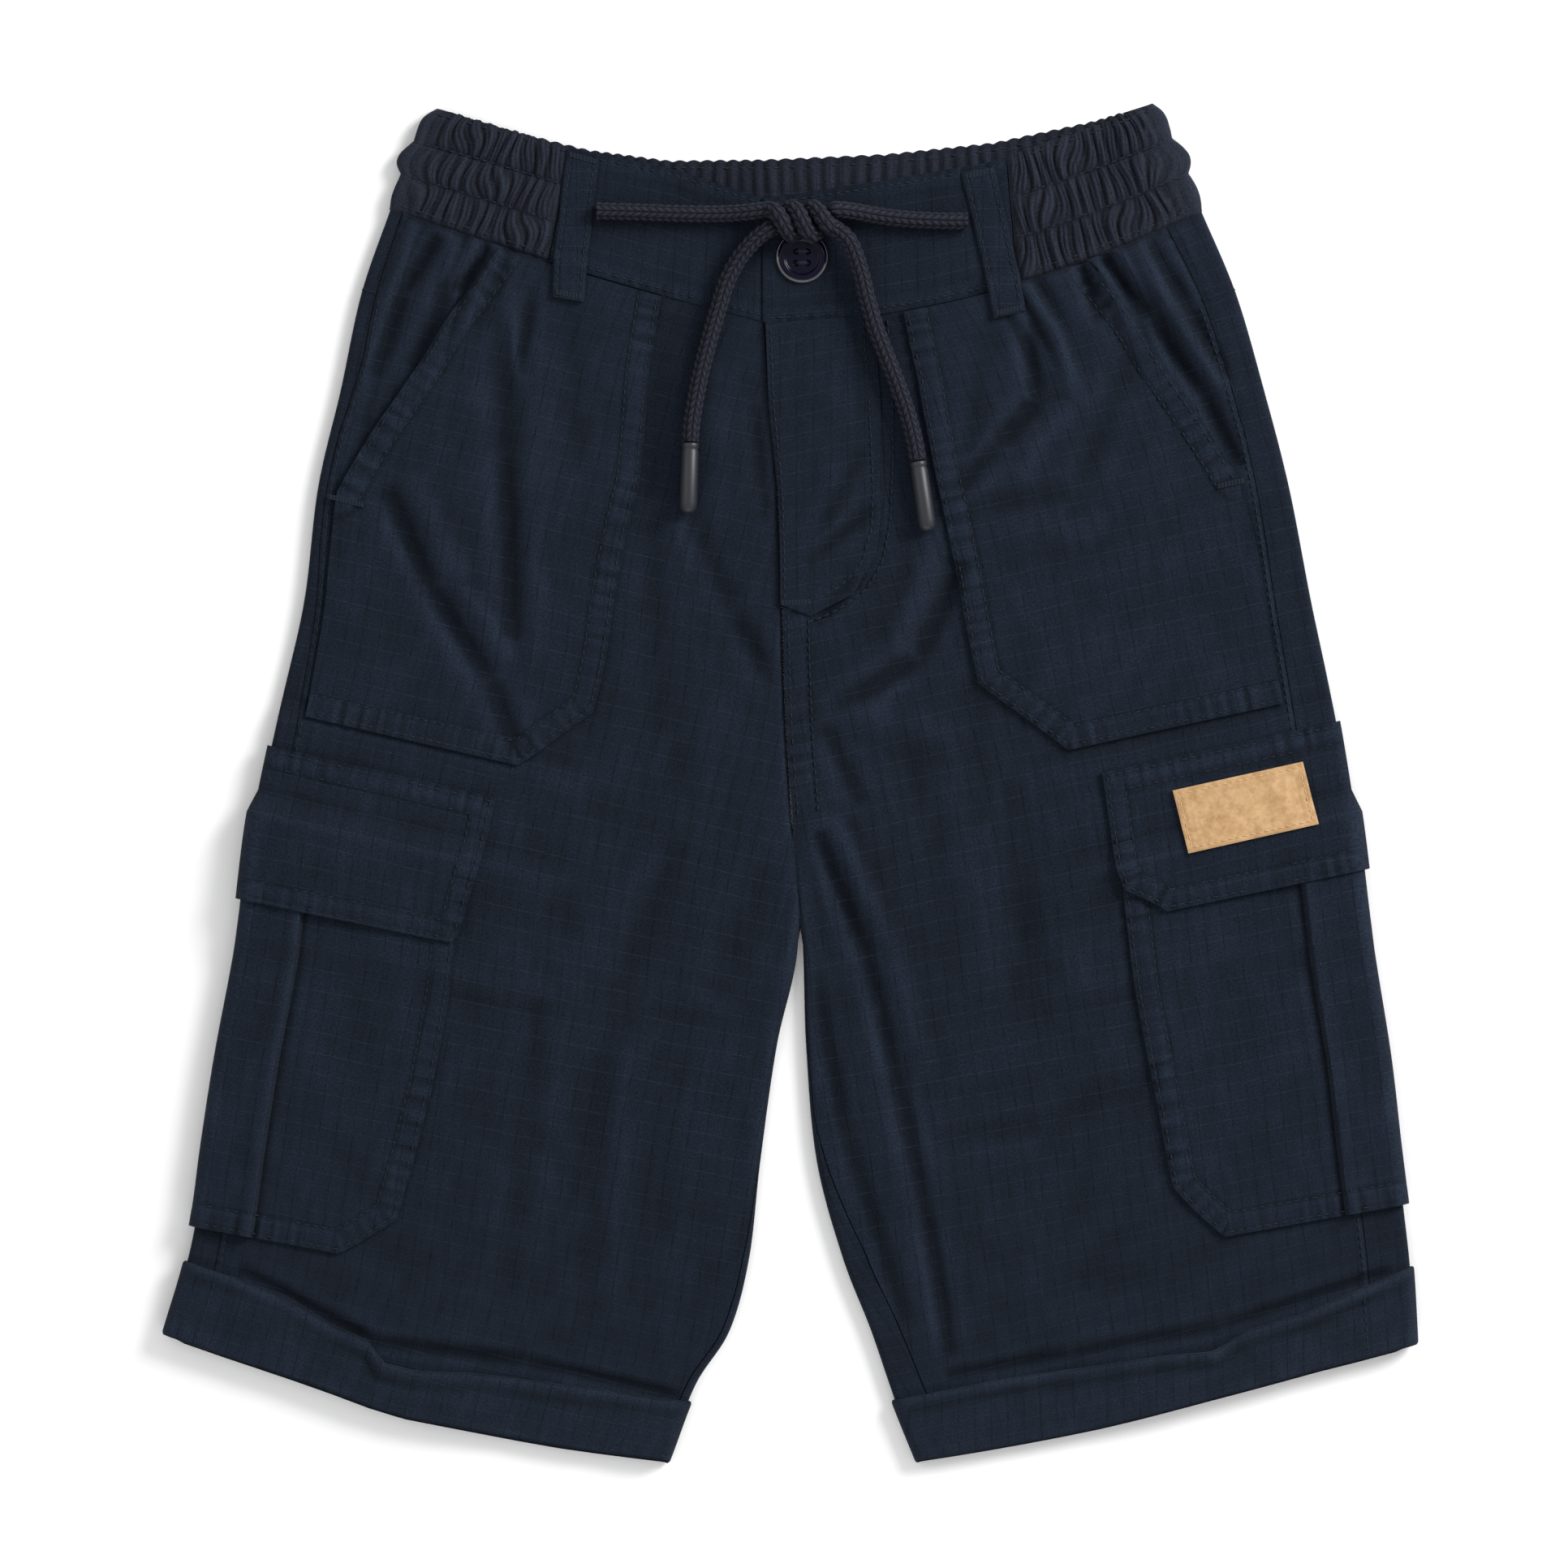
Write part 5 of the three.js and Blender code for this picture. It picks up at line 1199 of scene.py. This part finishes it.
BAND_HIGH = 38
JOIN = {"right": 66.5, "left": 77.0}
for side, first, last in (("right", -JOIN["right"] + GAP, 0.3), ("left", -0.3, JOIN["left"] - GAP)):
    way = np.linspace(first, last, 120)[None, :]
    h = np.linspace(BAND_FOOT, 1, 60)[:, None]
    rim = np.minimum(h - BAND_FOOT, 1 - h) * BAND_HIGH
    off = 0.2 * beside(rim, 4.0, 5.4) + 0.3 + 0.2 * np.sin(way / 6.1 + 2 * h) * np.sin(2 + way / 11 - 3 * h)
    off = off + beside(rim, 2, 4) * pucker(way, 0.12)
    off = off + (0.35 * beside(way, 0, 9) if side == "left" else -0.3 * beside(-way, 0, 2))
    outer, inner = band_grids(CENTRE_WAY + way, h, off, -CLOTH - 0.1)
    piece = shell("waistband-front-" + side, outer, inner, band_uv(way, h), navy)
    run = np.linspace(first + 0.5, last - 0.5, 90)
    for height in (0.03, 0.955):
        seam(onto(band_point(CENTRE_WAY + run, height, 0.0), outer))

GATHER_PITCH = 3.1
GATHER_HEIGHT = 1.25
SIDE_REAR = 12
ROUND_BACK = 2 * QUARTER + BAND_FLAT
for side, sign, wide in (("right", -1, RIGHT_WIDTH), ("left", 1, LEFT_WIDTH)):
    start = JOIN[side]
    edge_way = wide - EDGE
    waves = int((wide - 7 - start) / GATHER_PITCH)
    gathered = np.linspace(start, start + waves * GATHER_PITCH, waves * 12 + 1)
    on_front = np.concatenate([gathered, np.linspace(gathered[-1], edge_way, 10)[1:]])
    fold = np.concatenate([QUARTER * np.linspace(1, -1, 13)[1:],
                           -QUARTER - np.linspace(0, SIDE_REAR, 14)[1:]])
    round_side = fold if side == "right" else ROUND_BACK - fold
    p = np.concatenate([CENTRE_WAY + sign * on_front, round_side])[None, :]
    h = np.linspace(BAND_FOOT, 1, 70)[:, None]
    out = np.concatenate([on_front, np.full(len(fold), edge_way)])[None, :]
    tunnel = np.floor(np.clip(h, 0, 0.999) * 3)
    wander = 0.8 * np.sin(h * 6 + out / 5.3 + 2 * tunnel) + 0.5 * np.sin(h * 11 + out / 2.9 - tunnel)
    phase = (out - start + wander * GATHER_PITCH * 0.45) / (GATHER_PITCH * 1.25)
    wave = np.abs(np.cos(math.pi * phase)) ** 1.2 * (0.7 + 0.3 * np.sin(phase * 2.3 + 1.1 + tunnel))
    wave = 0.78 * wave + 0.3 * np.abs(np.cos(2.6 * math.pi * phase + 1.3 * np.sin(h * 9 + tunnel)))
    round_up = np.sin(math.pi * (np.clip(h, 0, 1) * 3 - tunnel)) ** 0.6
    on_face = ease(0, 10, wide - 2 - out) * 0.75 + 0.25
    fade = ease(start, start + GATHER_PITCH, out) * on_face * (p > 0)
    rim = np.minimum(h - BAND_FOOT, 1 - h) * BAND_HIGH
    gathers = GATHER_HEIGHT * fade * (0.25 * round_up + wave * (0.35 + 1.1 * round_up))
    off = 0.25 + gathers - 0.4 * beside(rim, 0, 1.0)
    fold_side = np.sin(math.pi * np.clip(np.where(p < wide, p, ROUND_BACK - p) / QUARTER, -1, 1) / 2)
    off = np.where(out >= edge_way, np.maximum(fold_side, 0) * off, off)
    outer, inner = band_grids(p, h, off, -CLOTH - 0.1, 0.7 * ease(0.9, 1, h) * fade * (wave - 0.5))
    piece = shell("waistband-side-" + side, outer, inner, band_uv(p * 1.35, h), navy_gathered)
    run = CENTRE_WAY + sign * np.linspace(start + 1, edge_way - 1, 160)
    for height in (0.05, 0.34, 0.67, 0.955):
        seam(onto(band_point(run, height, 0.0), outer[:, :len(on_front)]))

BACK_PITCH = 4.4
BACK_SWELL = 0.9
back_from, back_to = QUARTER + SIDE_REAR + GAP, QUARTER + BAND_FLAT - SIDE_REAR - GAP
waves = int((back_to - back_from) / BACK_PITCH)
p = -np.linspace(back_from, back_to, waves * 8 + 1)[None, :]
h = np.linspace(BAND_FOOT, 1, 44)[:, None]
phase = (-p - back_from) / BACK_PITCH + 0.12 * np.sin(h * 6 - p / 9)
crest = np.abs(np.sin(math.pi * phase)) ** 1.1
swell = BACK_SWELL * np.interp(h, (0, 0.34, 0.5, 0.67, 0.86, 1), (0.3, 0.2, 0.9, 0.3, 1, 0.5))
inward = -0.9 - swell * crest * (0.8 + 0.2 * np.sin(phase * 1.7))
outer, inner = band_grids(p, h, -0.1 * (h < 0.03), inward, 0.6 * ease(0.9, 1, h) * (crest - 0.5))
piece = shell("waistband-back", outer, inner, band_uv(-p * 1.3, h), navy_gathered, coarse=1)
for height in (0.67, 0.95):
    seam(onto(band_point(np.linspace(-back_from - 2, -back_to + 2, 500), height, -1.0), inner))

# Belt loops: turned strips stitched along both edges and bar-tacked over the band's lower seam. Each row is
# both edges, x and y, then how high the strip lies over the band.
LOOP = {
    "right": np.array([
        (-66.3, 187.5, -56.6, 184.8, 0), (-68.6, 168, -58.6, 166, 0), (-69.8, 158.5, -59.8, 156.5, 0),
        (-70.1, 155.5, -60.1, 153.5, 1.5), (-70.6, 144, -61, 142.4, 1.5),
    ]),
    "left": np.array([
        (60.4, 182.6, 50.2, 180.6, 0), (65, 163, 55, 161, 0), (67, 153.5, 57.3, 151, 0),
        (67.8, 150.5, 58, 148, 1.5), (69.6, 139.8, 59.9, 137.4, 1.5),
    ]),
}
LOOP_WIDE = 10
LOOP_TOP = 0.95
for side in ("right", "left"):
    last = len(LOOP[side]) - 1
    rows = rows_at(LOOP[side], np.linspace(0, last, 24 * last + 1))
    x, y = across_rows(rows, 34)
    share = np.linspace(0, 1, 34)[None, :]
    rim = np.minimum(share, 1 - share) * LOOP_WIDE
    face = LOOP_TOP - 0.4 * beside(rim, 0, 0.8) - 0.18 * bell(rim - 1.7, 0.6) + 0.12 * np.sin(y / 3.1)
    under = np.broadcast_to(FLAT_TOP + GAP + rows[:, 4:5], x.shape)
    outer = np.stack([x, y, under + face], -1)
    inner = np.stack([x, y, under - 0.1], -1)
    piece = shell("belt-loop-" + side, outer, inner, np.stack([x, y], -1), navy_pocket)
    for column in (5, 28):
        seam(even(outer[2:-2, column], 1.0))

# Bar tacks: short dense bars of the same thread that hold the pocket openings, the fly's curve and both ends
# of each belt loop.
TACK_FACE = GAP + SOLID_WALL + 0.1
tacks = [
    on_fly([(-2.8, 53.4), (5.8, 53.8)], 0.3),
    leg_point("right", 3.06, np.linspace(5, 15.5, 12), TACK_FACE),
    leg_point("left", 2.84, np.linspace(14, 22, 10), TACK_FACE),
]
for side in ("right", "left"):
    for row, beyond, share in ((0, 1, 0.06), (4, 3, 0.12)):
        at = LOOP[side][row] + (LOOP[side][beyond] - LOOP[side][row]) * share
        high = FLAT_TOP + GAP + LOOP[side][row, 4] + LOOP_TOP
        tacks.append(even(np.array([(at[0], at[1], high), (at[2], at[3], high)]), 1.0)[1:-1])

# Button: dark glossy four-hole button with a raised rim, its edge catching the light, sewn through its holes
# with navy thread.
BUTTON_AT = (3.4, 155.6)
BUTTON_SIDES = 112
HOLE_FAR = 1.7
HOLE_DEEP = 1.2
SHINY_FROM = 0.0069
radius = np.concatenate([
    np.linspace(0.02, 5.2, 36), np.linspace(5.3, 7.2, 16),
    7.2 + 0.3 * np.sin(np.linspace(0, math.pi / 2, 6))[1:], np.array([7.5, 7.3, 4.0, 0.02]),
])
under = len(radius) - 3
turn = np.linspace(0, 2 * math.pi, BUTTON_SIDES, endpoint=False)[None, :]
x, y = radius[:, None] * np.cos(turn), radius[:, None] * np.sin(turn)
z = 1.35 + 0.55 * ease(4.6, 5.6, radius) - 0.6 * np.clip(radius - 6.4, 0, 1)
z = np.broadcast_to(z[:, None], x.shape).copy()
for hole in ((-1, -1), (-1, 1), (1, -1), (1, 1)):
    z -= HOLE_DEEP * (1 - ease(0.6, 0.95, np.hypot(x - HOLE_FAR * hole[0], y - HOLE_FAR * hole[1])))
z[under:] = 0.0
z[under - 1] = 0.5
grid = np.stack([x + BUTTON_AT[0], y + BUTTON_AT[1], z + FLAT_TOP + GAP], -1)
button = grid_mesh("button", grid, np.zeros((len(radius), BUTTON_SIDES + 1, 2)), 0.8)
gloss, tree, shader = new_material("dark glossy button", roughness=0.2, specular_ior_level=0.14)
swirl = noise(tree, place_in(tree), 320.0, 3.0, distortion=1.5)
tree.links.new(mix(tree, swirl, (0.001, 0.001, 0.004, 1), (0.005, 0.004, 0.018, 1)),
               shader.inputs["Base Color"])
centre = metres((*BUTTON_AT, 0)) * (1, 1, 0)
from_centre = make(tree, "ShaderNodeVectorMath",
                   {0: scaled(tree, place_in(tree), (1, 1, 0)), 1: tuple(centre)},
                   operation="DISTANCE").outputs["Value"]
tree.links.new(math_node(tree, "GREATER_THAN", from_centre, SHINY_FROM), shader.inputs["Coat Weight"])
shader.inputs["Coat Roughness"].default_value = 0.06
shader.inputs["Coat IOR"].default_value = 2.3
button.data.materials.append(gloss)
stand_for(button, "button")

# Sewing thread: every row is lockstitches of polyester thread a shade paler than the cloth, each stitch a
# small bar whose ends sink into the cloth.
STITCH_SIDES = 4
# place along a stitch by its length, then thickness and rise by the thread's
STITCH_SHAPE = np.array([(-0.5, 0.45, -0.55), (-0.28, 1, 0), (0.28, 1, 0), (0.5, 0.45, -0.55)])


def stitches(name, paths, pitch, length, thick, material):
    """One mesh of stitches: a four-sided tapered bar at every pitch along each path."""
    lines = [line for line in (even(np.asarray(path), pitch) for path in paths) if len(line) > 1]
    middle = np.vstack([(line[1:] + line[:-1]) / 2 for line in lines])
    way = np.vstack([np.diff(line, axis=0) for line in lines])
    way /= np.linalg.norm(way, axis=1)[:, None]
    side_way = np.cross(way, (0, 0, 1.0))
    side_way /= np.linalg.norm(side_way, axis=1)[:, None]
    up = np.cross(side_way, way)
    k = np.arange(STITCH_SIDES)
    turn = ((2 * k + 1) * math.pi / STITCH_SIDES)[:, None, None]
    ring = (np.cos(turn) * side_way + np.sin(turn) * up).transpose(1, 0, 2)
    along, wide, rise = (column[None, :, None, None] for column in (STITCH_SHAPE * (length, thick, thick)).T)
    grid = middle[:, None, None] + way[:, None, None] * along
    grid = grid + ring[:, None] * wide + up[:, None, None] * rise
    rings = len(STITCH_SHAPE)
    after = (k + 1) % STITCH_SIDES
    walls = np.concatenate([
        np.stack([r + k, r + after, r + STITCH_SIDES + after, r + STITCH_SIDES + k], -1)
        for r in np.arange(rings - 1) * STITCH_SIDES])
    ends = np.stack([k[::-1], (rings - 1) * STITCH_SIDES + k])
    first = np.arange(len(middle))[:, None, None] * rings * STITCH_SIDES
    faces = [(part[None] + first).reshape(-1, 4)[:, ::-1].tolist() for part in (walls, ends)]
    mesh = bpy.data.meshes.new(name)
    mesh.from_pydata(metres(grid.reshape(-1, 3)), [], faces[0] + faces[1])
    mesh.shade_smooth()
    mesh.materials.append(material)
    thing = add_object(name, mesh)
    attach(thing, "root")


thread, _, _ = new_material("navy thread", base_color=(0.008, 0.013, 0.022, 1), roughness=0.7,
                            specular_ior_level=0.2)
tan_thread, _, _ = new_material("tan thread", base_color=(0.55, 0.36, 0.19, 1), roughness=0.7,
                                specular_ior_level=0.2)
half = len(thread_paths) // 2
for name, paths in (("stitch-rows-first", thread_paths[:half]), ("stitch-rows-second", thread_paths[half:])):
    stitches(name, paths, 2.6, 1.9, 0.27, thread)
bars = [bar + [0, dy, 0] for bar in tacks for dy in (0, 0.5, -0.5)]
stitches("bar-tacks", bars, 1.0, 1.3, 0.3, thread)
stitches("label-stitches", label_rows, 2.2, 1.6, 0.2, tan_thread)
bars = [np.array([(BUTTON_AT[0] + end * HOLE_FAR, BUTTON_AT[1] + row * HOLE_FAR + dy, FLAT_TOP + GAP + 1.5)
                  for end in (-1, 1)]) for row in (-1, 1) for dy in (-0.25, 0.1, 0.4)]
stitches("button-thread", bars, 3.4, 3.4, 0.22, thread)
